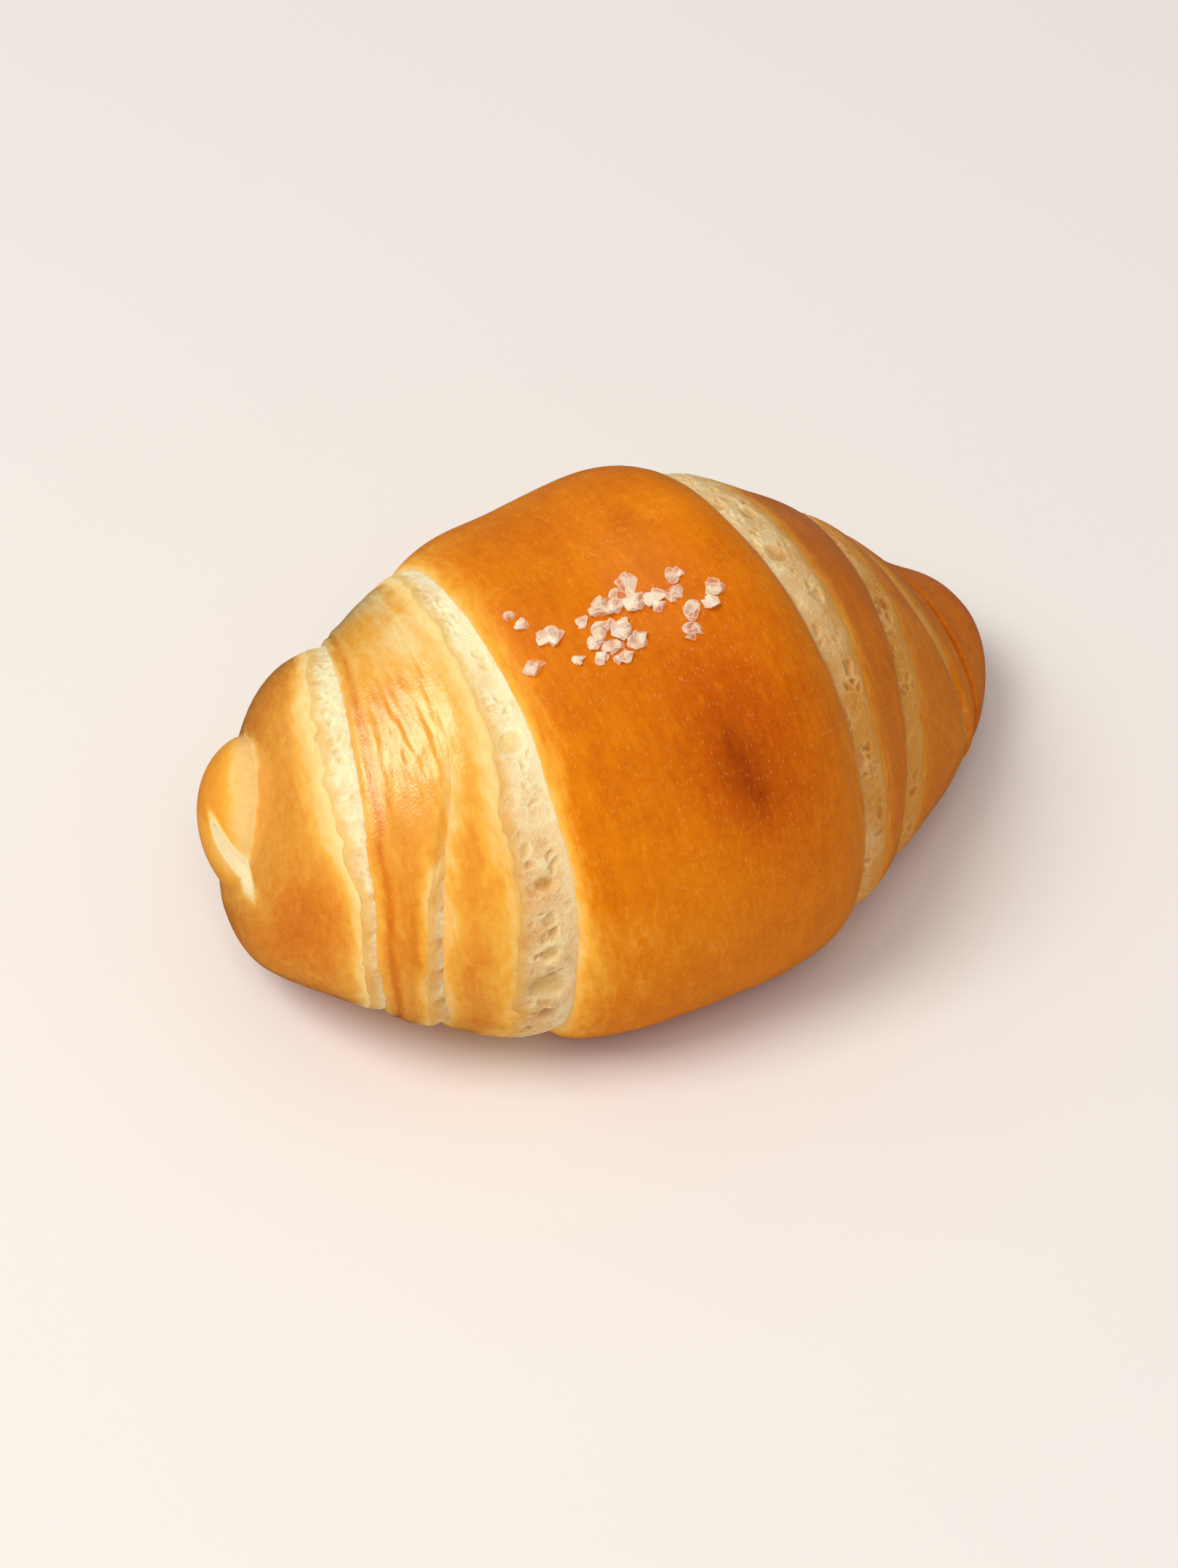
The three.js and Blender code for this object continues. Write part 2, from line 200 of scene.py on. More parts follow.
# The crumb that shows in a tear is a strip of its own, finer than the crust, which starts under
# the edge, rises to the crust and dives under it at its ragged border. Big bubbles that have
# torn open lie at a seam, an angle in degrees, a share of the tear's width, and have a radius and
# a depth.
CRUMB_SEAMS = (0, 1, 2, 3, 4, 5)
CRUMB_SEED = 20  # of the noise that bends the bubbles; at 0 the clock would choose it
CRUMB_START = -1.1  # the strip's first row, this far under the edge
CRUMB_REACH = 1.4  # where its last row lies, as a share of the tear's width
CRUMB_PROUD = 0.06  # how far the crumb stands above the tear's plain surface
CRUMB_FILL = 0.42  # how far under the crust it starts beside the edge, as a share of the drop
CRUMB_HIDDEN = 0.25  # how far it lies under the crust outside its border
CRUMB_BORDER = 0.3  # width of the border's slope, as a share of the tear's width
MOST_BORDER = 1.8  # and at most
BORDER_OUTSIDE = 0.55  # how much of that slope lies outside the border
FRAY_WIDTH = 3  # width of the lumps that make the border ragged
FINE_FRAY = (0.4, 1.1)  # depth and width of the finer ones in the crumb's own border
CRUMB_SKIN = 2.2  # width of the thin yellow skin inside the border
FULLY_TORN = 0.6  # a tear is fully open where this share of its width is bare
CRUMB_FADE = (1.8, 3.6)  # the dough's paleness fades over the tear's width, between these
TOAST_HIDES = 0.85  # how much of that paleness the oven's colour hides
TOAST_RISE = 0.2  # how much more toasted a tear is at its far side than under the edge
RIDGE_WIDTH = 1.3  # width of the smooth pale dough in the crumb beside a rolled edge
CRUMB_DEEP = 2.4  # how deep the strip's closed back lies
CRUMB_BED = 1.3  # how deep the roll's own skin lies under the crumb
BED_SLOPE = 2.8  # width of the slope down to that
BED_OF_TEAR = 0.45  # and at most this share of the tear's width
CELL_WALL = 0.12  # width of the walls between bubbles, in bubbles
BOWL = 0.5  # how far from its walls a bubble reaches its full depth, in bubbles
FINE_BUBBLES = 2.3  # how many fine bubbles lie across a large one
PLAIN_CRUMB_PAINTED_LIGHT = 0.6  # how pale the crumb is painted where no bubble has opened, between painted shade in a bubble (0) and painted light on a wall (1)
OPEN_BUBBLES = [
    (2, -56, 0.5, 1, 0.6), (2, -75, 0.5, 1, 0.8), (2, -86, 0.5, 2.1, 1.2), (2, -97, 0.45, 1, 1.5),
    (1, -87, 0.5, 0.8, 0.8), (1, -94, 0.5, 0.9, 1), (2, -22, 0.55, 1.7, 0.4),
    (3, -8, 0.3, 1.6, 0.4), (3, 6, 0.45, 1.4, 0.4), (0, -66, 0.5, 0.7, 0.4),
    (4, -22, 0.5, 1.2, 0.4),
]
BUBBLE_RIM_PAINTED_LIGHT = (1.05, 0.14)  # where the rim of such a bubble lies, painted pale as painted light, and how wide it is, in radii

# The end of the innermost wind shows at the blunt end as a knob, with a slit torn across its foot.
UPRIGHT = ((1, 0, 0), (0, 1, 0), (0, 0, 1))
KNOB_CENTRE = (-46.6, 13, 21.1)
KNOB_RADII = (9.9, 12, 13.6)
KNOB_STEPS = (240, 120)
KNOB_LIMIT = -40  # nothing right of this x belongs to the knob
OFF_WINDS = 0.02  # a point this far off the winds' skin does
UNSET_BAKE = 0.05  # and so does a point of the join, which has no value: no crust is this pale
KNOB_BAKE = 0.55
KNOB_GLAZE = 0.08
CREASE_FACING = np.array([0.862, -0.507, 0])  # the knob's crease lies in an upright plane
CREASE_AT = -48.5  # how far along its facing the plane lies
KNOB_TUCK = (0.3, 3.5, 5.5)  # how far the knob shrinks behind the crease, from where, how fast
CREASE_PALE_AND_LIT = (0.34, 0.4, 4)  # how much paler the knob is by the crease, partly its paler dough and partly painted light on the tucked side in shade; how far off, how wide
CREASE_SOFT = 0.6  # how far the knob's colour reaches into the wind beside it
SLIT_CENTRE = (-55.1, 8.1, 23.9)
SLIT_RADII = (5.6, 3.2, 1.2)
SLIT_STEPS = (64, 32)
SLIT_ALONG = (0.22, -0.79, -0.57)
SLIT_INWARD = (0.8, 0.48, -0.36)
SLIT_OVER = np.array([0.909, 0.017, 0.428])  # from the slit up over the knob
SLIT_AROUND = (1, 2.2, 1.6)  # how much further the colours round it reach along X, Y and Z
SLIT_PALER = (0.24, 3.4)  # how much paler the crust is under the slit, and the width of that
SLIT_LIP_SHADE = (0.08, 2.5)  # how much darker the knob is painted over the slit, as painted shade under its overhanging lip, and the width of that
SLIT_RIM = 0.35  # how far its pale rim reaches, in its radii
RIM_TORN, RIM_PALER = 0.7, 0.4  # how torn that rim is, and how much of its brown it loses
IN_SLIT = 0.01  # a point this close to the lens that cut the slit lies in it, in its radii
SLIT_BAKE = 0.03

# Grains of salt on the centre band: place along and across the roll, and size.
SALT_GRAINS = [
    (-16, 2, 1.4), (-15.4, -0.5, 1.5), (-13.9, -4.1, 2.3), (-12.7, -4.5, 2.2), (-16.7, -7, 2.3),
    (-9, -4, 1.6), (-11.9, -8.7, 1.6), (-6.3, -3.9, 2.9), (-2, -2.5, 2.8), (-4, -4.3, 2.6),
    (-2.3, -5, 2.7), (-5.1, -7, 1.6), (-0.2, -6.3, 2.8), (1.5, -6.9, 2.2), (3.1, -4.8, 2.1),
    (6, -9, 2.3), (4.8, -10.8, 2.2), (2.5, -10.5, 2.3), (1.2, -12.4, 2.2), (-7.5, -6.6, 2.8),
    (-6.1, -8, 2.6), (-9.1, -7.8, 2.1), (-7.7, -9.2, 2.1), (-4.9, -10.2, 2.3), (-7.2, -11, 2),
    (-9.7, -10, 1.6),
]
GRAIN_SQUASH = 0.8  # a grain's height, as a share of its width
GRAIN_SUNK = 0.3  # how much of its half height is baked into the crust
GRAIN_BODY = 0.85  # width of its main crystal, in grains
SPLINTERS = 2  # smaller crystals that cling to each grain
SPLINTER_SIZE = (0.45, 0.7)  # their size, in grains
SPLINTER_REACH = 0.38  # how far from its middle they sit
SPLINTER_LEVELS = (-0.4, 0.5)  # and how far under or over it, as a share of that
CENTRE_BAND = 3
CRYSTAL_FORMS = 6  # different crystals, which the grains are copied from
CRYSTAL_RADIUS = 0.56  # of the ball that a crystal is broken from, in crystals
BREAKS = 7  # flat breaks of a crystal
BREAK_PLACES = (0.2, 0.4)  # how far from its middle they lie, in crystals
EDGE_WIDTH = 0.05  # width of a crystal's white edges, in crystals

# The camera stands where the photo's stood.
CAMERA_TURN = math.radians(-30.47)
CAMERA_RISE = math.radians(48)
CAMERA_DISTANCE = 600
CAMERA_LENS = 101.8
AIM_LEVEL = 25
AIM_RIGHT, AIM_UP = -6.23, -7.35

# Where each light stands: metres to the camera's right, up its picture, and straight up.
WINDOW_PLACE = (-0.59, -0.46, 1.48)
FRONT_PLACE = (0, -0.92, 1.79)
GLOSS_PLACE = (-0.97, 0.37, 0.87)
LOW_GLOSS_PLACE = (-1.3, 0.55, 0.3)
WHITE = (1, 1, 1)


def smooth_share(value):
    """0 below 0, 1 above 1, and a smooth rise between them."""
    share = np.clip(value, 0, 1)
    return share * share * (3 - 2 * share)


def fading(distance, width):
    """1 at no distance, and smoothly less further off: about a third at the width."""
    return np.exp(-((distance / width) ** 2))


def station_curve(size, x):
    """The smooth curve of one size along the stations, with three-point slopes."""
    xs, ys = STATIONS[:, 0], STATIONS[:, size]
    rises = np.diff(ys) / np.diff(xs)
    slopes = (np.append(rises[0], rises) + np.append(rises, rises[-1])) / 2
    i = np.clip(np.searchsorted(xs, x) - 1, 0, len(xs) - 2)
    width = xs[i + 1] - xs[i]
    t = (x - xs[i]) / width
    start = 1 + t * t * (2 * t - 3)
    bends = t * (1 - t) ** 2 * slopes[i] + t * t * (t - 1) * slopes[i + 1]
    return start * ys[i] + (1 - start) * ys[i + 1] + bends * width


def surface_point(x, a, rise):
    """Points of the roll at places x and angles a, raised above the plain form by rise."""
    reach = np.abs(np.where(x < 0, x / BLUNT_END, x / FAR_END))
    closing = np.sqrt(np.maximum(1 - reach**END_FULLNESS, 0))
    half_width = station_curve(HALF_WIDTH, x)
    height = station_curve(HEIGHT, x)
    belly = station_curve(LIFT, x) + height * BELLY_LEVEL
    up, across = np.cos(a), np.sin(a)
    wide = half_width * closing
    tall = height * closing * np.where(up > 0, 1 - BELLY_LEVEL, BELLY_LEVEL)
    radius = np.maximum(np.hypot(wide * across, tall * up), 1e-6)
    swollen = np.maximum(1 + rise / radius, 0)
    side_power = np.where(up > 0, TOP_CURVE[0], FOOT_CURVE[0])
    level_power = np.where(up > 0, TOP_CURVE[1], FOOT_CURVE[1])
    y = wide * np.sign(across) * np.abs(across) ** side_power * swollen
    z = tall * np.sign(up) * np.abs(up) ** level_power * swollen
    lean = SKEW * smooth_share(-x / SKEW_LENGTH) * y / half_width
    sideways = station_curve(SIDEWAYS, np.clip(x + lean, BLUNT_END, FAR_END))
    return np.stack([x + lean, y + sideways, belly + z], axis=-1)


def round_girth(values, a):
    """The value at an angle, from those on the back, on the top and at the front foot."""
    back, top, front = values
    to_front = smooth_share((-a - FRONT_BLEND[0]) / (FRONT_BLEND[1] - FRONT_BLEND[0]))
    to_back = smooth_share((a - BACK_BLEND[0]) / (BACK_BLEND[1] - BACK_BLEND[0]))
    return top + (front - top) * to_front + (back - top) * to_back


def ring_noise(a, seed, lumps, size):
    """A wavering number round the girth, about lumps waves long and up to size high."""
    reach = lumps / math.tau
    places = [(math.cos(t) * reach, math.sin(t) * reach, seed * 7.3) for t in a]
    return size * np.array([noise.noise(place) for place in places])


def field_noise(places, width, seed=0):
    """Smooth noise from -1 to 1 at places in mm, with lumps about width wide."""
    return np.array([noise.noise(place) for place in ((places + seed) / width).tolist()])


def band_limits(a, waver):
    """The x of both ends and of every edge between them, at each angle."""
    places = []
    for i, edge in enumerate(EDGES):
        if "between" in edge:
            places.append(None)
            continue
        ring = edge["top"] + edge["tilt"] * np.sin(a) + edge["bend"] * (1 - np.cos(a))
        fine = ring_noise(a, i + 20, FINE_WAVES, waver / 5)
        places.append(ring + ring_noise(a, i, EDGE_WAVES, waver) + fine)
    for i, edge in enumerate(EDGES):
        if "between" in edge:
            share = round_girth(edge["between"], a)
            places[i] = places[i - 1] * (1 - share) + places[i + 1] * share
            places[i] = places[i] + ring_noise(a, i, FOLD_WAVES, waver)
    return [np.full_like(a, BLUNT_END), *places, np.full_like(a, FAR_END)]


class BandSide:
    """What a band does at its left side (-1) or right side (1): its own rounded edge, the tear
    where it comes out from under a neighbour, or nothing at an end of the roll."""

    def __init__(self, band, side, a, width):
        index = band - 1 if side < 0 else band
        self.rows, self.radius, self.torn, self.bare, self.rolled = [], None, None, 0, 0
        if not 0 <= index < len(EDGES):
            return
        edge = EDGES[index]
        self.drop = round_girth(edge["drop"], a)
        if edge["towards"] == side:
            radius = np.minimum(edge["lip"], self.drop * LIP_OF_DROP)
            self.radius = np.minimum(radius, width * MOST_SHARE)
            self.rolled = edge["rolled"]
            self.rows = [np.minimum(row * self.radius, width * MOST_SHARE) for row in LIP_ROWS]
            return
        self.torn = np.minimum(round_girth(edge["tear"], a), width * MOST_SHARE)
        self.bare, self.ragged = round_girth(edge["bare"], a), edge["ragged"]
        self.paleness = 1 - TOAST_HIDES * round_girth(edge["toast"], a)
        self.rows = [-TUCK * self.drop]
        self.rows += [np.minimum(self.torn * share, width * MOST_ROWS) for share in TEAR_ROWS]

    def lowered(self, distance):
        """How far a point at this distance from the side lies under the plain form."""
        if self.radius is not None:
            t = np.clip(1 - distance / np.maximum(self.radius, 1e-6), 0, 1)
            return self.radius * (1 - np.sqrt(1 - t * t))
        if self.torn is not None:
            return self.drop * (1 - smooth_share(distance / self.torn))
        return 0 * distance

    def inside(self, distance, spots):
        """How far inside the crumb's ragged border a point is, in mm."""
        fray = self.ragged / 2 * field_noise(spots, FRAY_WIDTH, 30)
        return self.torn * (self.bare + fray) - distance

    def crumb(self, distance, spots):
        """How torn the crust of a point is, from 0 to 1, and how deep it lies under the crumb."""
        if self.torn is None:
            return 0 * distance, 0 * distance
        gap = self.inside(distance, spots)
        torn = smooth_share(self.bare / FULLY_TORN)
        fade = np.clip(self.torn, *CRUMB_FADE)
        slope = np.minimum(self.torn * BED_OF_TEAR, BED_SLOPE)
        pale = torn * self.paleness * smooth_share(1 + gap / fade)
        return pale, torn * CRUMB_BED * smooth_share(gap / slope)

    def pale_edge(self, distance):
        """How much of the pale dough under the crust shows on a rounded edge."""
        return self.rolled * fading(distance, ROLLED_WIDTH)


def band_rise(band, a, distance, width, left, right):
    """How far a band stands above the plain form at a distance from its left side."""
    share = np.clip(distance / width, 0, 1)
    dome = round_girth(BANDS[band]["swell"], a) * (1 - (2 * share - 1) ** DOME_POWER)
    return dome - left.lowered(distance) - right.lowered(width - distance)


def ring_angles(columns):
    """Angles round the girth from -180 to 180 degrees, closer together where the roll shows."""
    steps = np.linspace(-math.pi, math.pi, 2001)
    first, last = SHOWN_ANGLES
    shown = smooth_share((steps - first) / SHOWN_BLEND) * smooth_share((last - steps) / SHOWN_BLEND)
    total = np.concatenate([[0], np.cumsum(COLUMNS_HIDDEN + COLUMNS_SHOWN * shown[:-1])])
    return np.interp(np.arange(columns) / columns, total / total[-1], steps)


def off_centre(x, a, patch):
    """How far a place lies from a patch's middle, squared, in half lengths."""
    return ((x - patch[0]) / patch[2]) ** 2 + ((np.degrees(a) - patch[1]) / patch[3]) ** 2


def strand_places(x, a):
    """Where the noise of the strands is read: drawn out round the girth."""
    return np.stack([x, np.cos(a) * GRAIN_REACH, np.sin(a) * GRAIN_REACH], axis=-1)


def band_bake(band, x, a, distance, width):
    """How brown a band's crust is at a distance from its left side."""
    look = BANDS[band]
    bake = round_girth(look["bake"], a)
    for (paler, reach), gap in ((look["left"], distance), (look["right"], width - distance)):
        bake = bake - paler * fading(gap, reach)
    for place, thick, _, brown in look["folds"]:
        bake = bake + brown * fading(distance - place, thick)
    for patch in PATCHES:
        bake = bake + patch[4] * np.exp(-off_centre(x, a, patch))
    tray = (np.abs(a) - TRAY_ANGLES[0]) / (TRAY_ANGLES[1] - TRAY_ANGLES[0])
    return bake + TRAY_BROWN * smooth_share(tray)


def skin_relief(band, x, a, distance):
    """Folds, wrinkles and soft unevenness of a band's skin, in mm."""
    places = strand_places(x, a)
    relief = UNDULATION * field_noise(places, UNDULATION_WIDTH)
    for place, thick, high, _ in BANDS[band]["folds"]:
        relief = relief + high * fading(distance - place, thick)
    for patch in WRINKLES:
        creep = np.exp(-off_centre(x, a, patch))
        if creep.max() > FAINT_WRINKLE:
            relief = relief + patch[4] * creep * field_noise(places, WRINKLE_WIDTH, 50)
    return relief


def wound_surface(columns, waver):
    """The grid of points of the whole roll, and the skin's values at each point."""
    a = ring_angles(columns)
    limits = band_limits(a, waver)
    points, skin = [], {"bake": [], "crumb": [], "pulled": [], "strand": [], "glaze": []}
    for band, look in enumerate(BANDS):
        width = limits[band + 1] - limits[band]
        left, right = BandSide(band, -1, a, width), BandSide(band, 1, a, width)
        start = left.rows[-1] if left.rows else 0 * a
        end = width - (right.rows[-1] if right.rows else 0 * a)
        shares = np.linspace(0, 1, look["rows"] + 2)[1:-1]
        if band == 0:
            shares = shares**END_POWER
        if band == len(BANDS) - 1:
            shares = 1 - (1 - shares) ** END_POWER
        rows = left.rows + [start + (end - start) * share for share in shares]
        rows += [width - row for row in reversed(right.rows)]
        for d in rows:
            x = limits[band] + d
            rise = band_rise(band, a, d, width, left, right)
            spots = surface_point(x, a, rise)
            rise = rise + skin_relief(band, x, a, d)
            pulled = [fading(gap, max(reach, 0.1))
                      for gap, reach in zip((d, width - d), look["pulled"])]
            crumb, bed = np.maximum(left.crumb(d, spots), right.crumb(width - d, spots))
            points.append(surface_point(x, a, rise - bed))
            skin["bake"].append(band_bake(band, x, a, d, width))
            pale = np.maximum(left.pale_edge(d), right.pale_edge(width - d))
            skin["crumb"].append(np.maximum(crumb, pale))
            skin["pulled"].append(PULL * np.maximum(*pulled))
            skin["strand"].append(strand_places(x, a))
            skin["glaze"].append(np.full_like(a, look["glaze"]))
    points = np.array(points)
    points[..., 2] = np.maximum(points[..., 2], BASE_FLAT)
    return points, {name: np.array(values) for name, values in skin.items()}


def placed(points):
    """The table's millimetres as metres in the frame: centred in the CAD box, base on its floor."""
    return (np.asarray(points) - FORM_MIDDLE) * MM


def clear_selection():
    """Nothing stays selected, so that the next operator acts on the new piece alone."""
    bpy.ops.object.select_all(action="DESELECT")


def store_values(mesh, name, values):
    """Stores one number or vector for each vertex, for the materials to read."""
    kind, key = ("FLOAT_VECTOR", "vector") if values.ndim == 2 else ("FLOAT", "value")
    layer = mesh.attributes.get(name) or mesh.attributes.new(name, kind, "POINT")
    layer.data.foreach_set(key, np.asarray(values, np.float32).ravel())


def read_values(mesh, name):
    """The stored number of each vertex."""
    values = np.zeros(len(mesh.vertices), np.float32)
    mesh.attributes[name].data.foreach_get("value", values)
    return values


def vertex_places(mesh):
    """The place of each vertex in the tables' millimetres."""
    places = np.zeros(len(mesh.vertices) * 3, np.float32)
    mesh.vertices.foreach_get("co", places)
    return places.reshape(-1, 3) / MM + FORM_MIDDLE


def grid_faces(rows, columns, closed):
    """Quads between the points of a grid whose columns close into rings, and maybe its rows."""
    grid = np.arange(rows * columns).reshape(rows, columns)
    here = grid if closed else grid[:-1]
    above = np.roll(grid, -1, axis=0)[:len(here)]
    faces = [here, above, np.roll(above, -1, axis=1), np.roll(here, -1, axis=1)]
    return np.stack(faces, axis=-1).reshape(-1, 4).tolist()


def make_roll_mesh(settings):
    """The closed skin of the roll as a mesh, with its attributes."""
    points, skin = wound_surface(settings.columns, settings.waver / MM)
    count, columns = points.shape[:2]
    middle = np.zeros(1)
    tips = [surface_point(np.array([x]), middle, middle)[0] for x in (BLUNT_END, FAR_END)]
    blunt_tip, far_tip = count * columns, count * columns + 1
    last = (count - 1) * columns
    faces = grid_faces(count, columns, False)
    for i in range(columns):
        after = (i + 1) % columns
        faces.append((blunt_tip, i, after))
        faces.append((far_tip, last + after, last + i))
    mesh = bpy.data.meshes.new("wound_roll")
    mesh.from_pydata(placed(np.concatenate([points.reshape(-1, 3), tips])).tolist(), [], faces)
    for name, values in skin.items():
        flat = values.reshape(blunt_tip, -1)
        flat = np.concatenate([flat, flat[:1], flat[-1:]])
        store_values(mesh, name, flat if flat.shape[1] > 1 else flat[:, 0])
    mesh.update()
    return mesh


def bubbles(place, open_share):
    """How deep a place lies in an open bubble, and how much it lies on such a bubble's wall."""
    gaps, middles = noise.voronoi(place)
    gap = gaps[1] - gaps[0]
    chance = noise.noise(middles[0] * 3.7 + Vector((3, 8, 1))) * 1.6 + open_share
    opened = min(max(chance / 0.3, 0), 1)
    depth = min(gap / BOWL, 1)
    return opened * depth * depth * (3 - 2 * depth), opened * math.exp(-((gap / CELL_WALL) ** 2))


def crumb_web(spot, cell):
    """Height and paleness of the crumb at a place: open bubbles between thin walls, with painted
    shade down in the bubbles and painted light on the walls.
    """
    place = (spot + noise.noise_vector(spot * 0.45) * 0.9) / cell
    deep, wall = bubbles(place, 0.1)
    fine_place = place * FINE_BUBBLES + Vector((5, 1, 9))
    fine, fine_wall_painted_light = bubbles(fine_place, noise.noise(spot * 0.25) * 1.5)
    # Walls stand up and bubbles lie deep, and the whole swells softly over about 3 mm.
    height = 0.3 * wall - deep - 0.3 * fine + 0.5 * noise.noise(spot * 0.3)
    # The paleness is painted shade and light: darker down in the bubbles, paler on the walls.
    pale = PLAIN_CRUMB_PAINTED_LIGHT + 0.4 * wall + 0.25 * fine_wall_painted_light - 0.35 * deep - 0.15 * fine
    return height, min(max(pale, 0), 1)


class TornSeam:
    """One seam's bed for its crumb: where it lies on its band, and how bare and toasted it is."""

    def __init__(self, index, settings):
        edge = EDGES[index]
        self.index, self.settings = index, settings
        self.towards, self.rolled = edge["towards"], edge["rolled"]
        coarse = np.linspace(-math.pi, math.pi, 200)
        ring = surface_point(band_limits(coarse, 0)[index + 1], coarse, 0 * coarse)
        girth = np.linalg.norm(np.diff(ring, axis=0), axis=1).sum()
        columns = int(girth * MM / settings.crumb_step)
        a = self.a = np.linspace(-math.pi, math.pi, columns, endpoint=False)
        self.band = index if self.towards < 0 else index + 1
        limits = band_limits(a, settings.waver / MM)
        self.start = limits[self.band]
        self.width = limits[self.band + 1] - self.start
        self.left = BandSide(self.band, -1, a, self.width)
        self.right = BandSide(self.band, 1, a, self.width)
        self.side = self.right if self.towards < 0 else self.left
        self.bare, self.toast = round_girth(edge["bare"], a), round_girth(edge["toast"], a)
        self.torn = smooth_share(self.bare / FULLY_TORN)
        self.reach = self.side.torn * CRUMB_REACH - CRUMB_START

    def opened(self, x, plain, spots, d, web, wall):
        """The web and its paleness with the seam's big bubbles torn open in it: each hollow painted
        darker as painted shade, its rim paler as painted light.
        """
        for seam, angle, across, radius, depth in OPEN_BUBBLES:
            if seam == self.index:
                middle = surface_point(x, np.full_like(self.a, math.radians(angle)), plain)
                off = np.linalg.norm(spots - middle, axis=1)
                gap = np.hypot(off, d - across * self.side.torn)
                hollow = np.exp(-((gap / radius) ** 4))
                web = web - hollow * depth / (self.settings.crumb_relief / MM)
                # Inside the hollow the crumb is painted darker as painted shade, and on its rim
                # paler as painted light.
                rim = fading(gap / radius - BUBBLE_RIM_PAINTED_LIGHT[0], BUBBLE_RIM_PAINTED_LIGHT[1])
                wall = np.maximum(wall * (1 - 0.8 * hollow), rim * PLAIN_CRUMB_PAINTED_LIGHT * 1.6)
        return web, wall

    def row(self, share):
        """A row of points round the girth, how pale, toasted and near the crust each is, and the
        row of the strip's back under it."""
        a, side = self.a, self.side
        d = CRUMB_START + share * self.reach
        along = d if self.towards > 0 else self.width - d
        x = self.start + along
        plain = band_rise(self.band, a, along, self.width, self.left, self.right)
        spots = surface_point(x, a, plain)
        inside = side.inside(d, spots) + FINE_FRAY[0] * field_noise(spots, FINE_FRAY[1])
        border = np.minimum(side.torn * CRUMB_BORDER, MOST_BORDER)
        shown = smooth_share(inside / border + BORDER_OUTSIDE) * self.torn
        # wall is the crumb's paleness: painted shade down in its bubbles, painted light on their
        # walls.
        web, wall = np.zeros(len(a)), np.full(len(a), PLAIN_CRUMB_PAINTED_LIGHT)
        for i in np.nonzero((shown > 0) & (d > CRUMB_START / 2))[0]:
            web[i], wall[i] = crumb_web(Vector(spots[i]), self.settings.crumb_cell / MM)
        web, wall = self.opened(x, plain, spots, d, web, wall)
        skin = 1 - smooth_share(inside / CRUMB_SKIN)
        ridge = self.rolled * fading(np.maximum(d, 0), RIDGE_WIDTH)
        web = web * (1 - skin) * (1 - ridge)
        wall = wall + (1 - wall) * ridge
        climb = np.clip(d / np.maximum(self.bare * side.torn, 0.5), 0, 1)
        filled = side.lowered(d) - side.drop * CRUMB_FILL * (1 - climb)
        rise = CRUMB_PROUD + web * self.settings.crumb_relief / MM
        rise = rise * shown - CRUMB_HIDDEN * (1 - shown) + filled * self.torn
        toast = self.toast + TOAST_RISE * np.clip(d / side.torn, 0, 1)
        back = surface_point(x, a, plain - CRUMB_DEEP)
        return surface_point(x, a, plain + rise), wall, toast, skin, back


def crumb_strip(index, settings):
    """The torn crumb of one seam: a closed ring of points, with its values at each."""
    seam = TornSeam(index, settings)
    count = int(seam.reach.max() * MM / settings.crumb_step) + 1
    rows = [seam.row(share) for share in np.linspace(0, 1, count)]
    *parts, backs = (list(part) for part in zip(*rows))
    parts[0] += [backs[-1], backs[0]]
    for kept in parts[1:]:
        kept += [kept[-1], kept[0]]
    values = [np.array(part) for part in parts]
    if seam.towards < 0:
        values = [part[::-1] for part in values]
    values[0][..., 2] = np.maximum(values[0][..., 2], BASE_FLAT)
    return values


def make_crumb_mesh(index, settings):
    """One seam's torn crumb as a mesh, with how pale, toasted and near the crust each point is."""
    points, painted_crumb_light, toasts, skins = crumb_strip(index, settings)
    mesh = bpy.data.meshes.new(f"torn_crumb_{index + 1}")
    faces = grid_faces(*points.shape[:2], True)
    mesh.from_pydata(placed(points.reshape(-1, 3)).tolist(), [], faces)
    # These values are the crumb's paleness: painted shade in its bubbles, painted light on their
    # walls.
    for name, values in (("wall", painted_crumb_light), ("toast", toasts), ("skin", skins)):
        store_values(mesh, name, values.ravel())
    mesh.update()
    return mesh


def srgb(hex_colour):
    """An sRGB hex colour as linear RGBA."""
    parts = [int(hex_colour[i:i + 2], 16) / 255 for i in (1, 3, 5)]
    linear = [p / 12.92 if p <= 0.04045 else ((p + 0.055) / 1.055) ** 2.4 for p in parts]
    return (*linear, 1)


def add_node(tree, kind, inputs=None, **settings):
    """Adds a node with its settings; an input is a value, a socket, or a node's first output."""
    node = tree.nodes.new(kind)
    for name, value in settings.items():
        setattr(node, name, value)
    for name, value in (inputs or {}).items():
        if isinstance(value, bpy.types.Node):
            value = value.outputs[0]
        if isinstance(value, bpy.types.NodeSocket):
            tree.links.new(value, node.inputs[name])
        else:
            node.inputs[name].default_value = value
    return node


def new_material(name):
    """An empty node material and its tree."""
    material = bpy.data.materials.new(name)
    material.use_nodes = True
    material.node_tree.nodes.clear()
    return material, material.node_tree


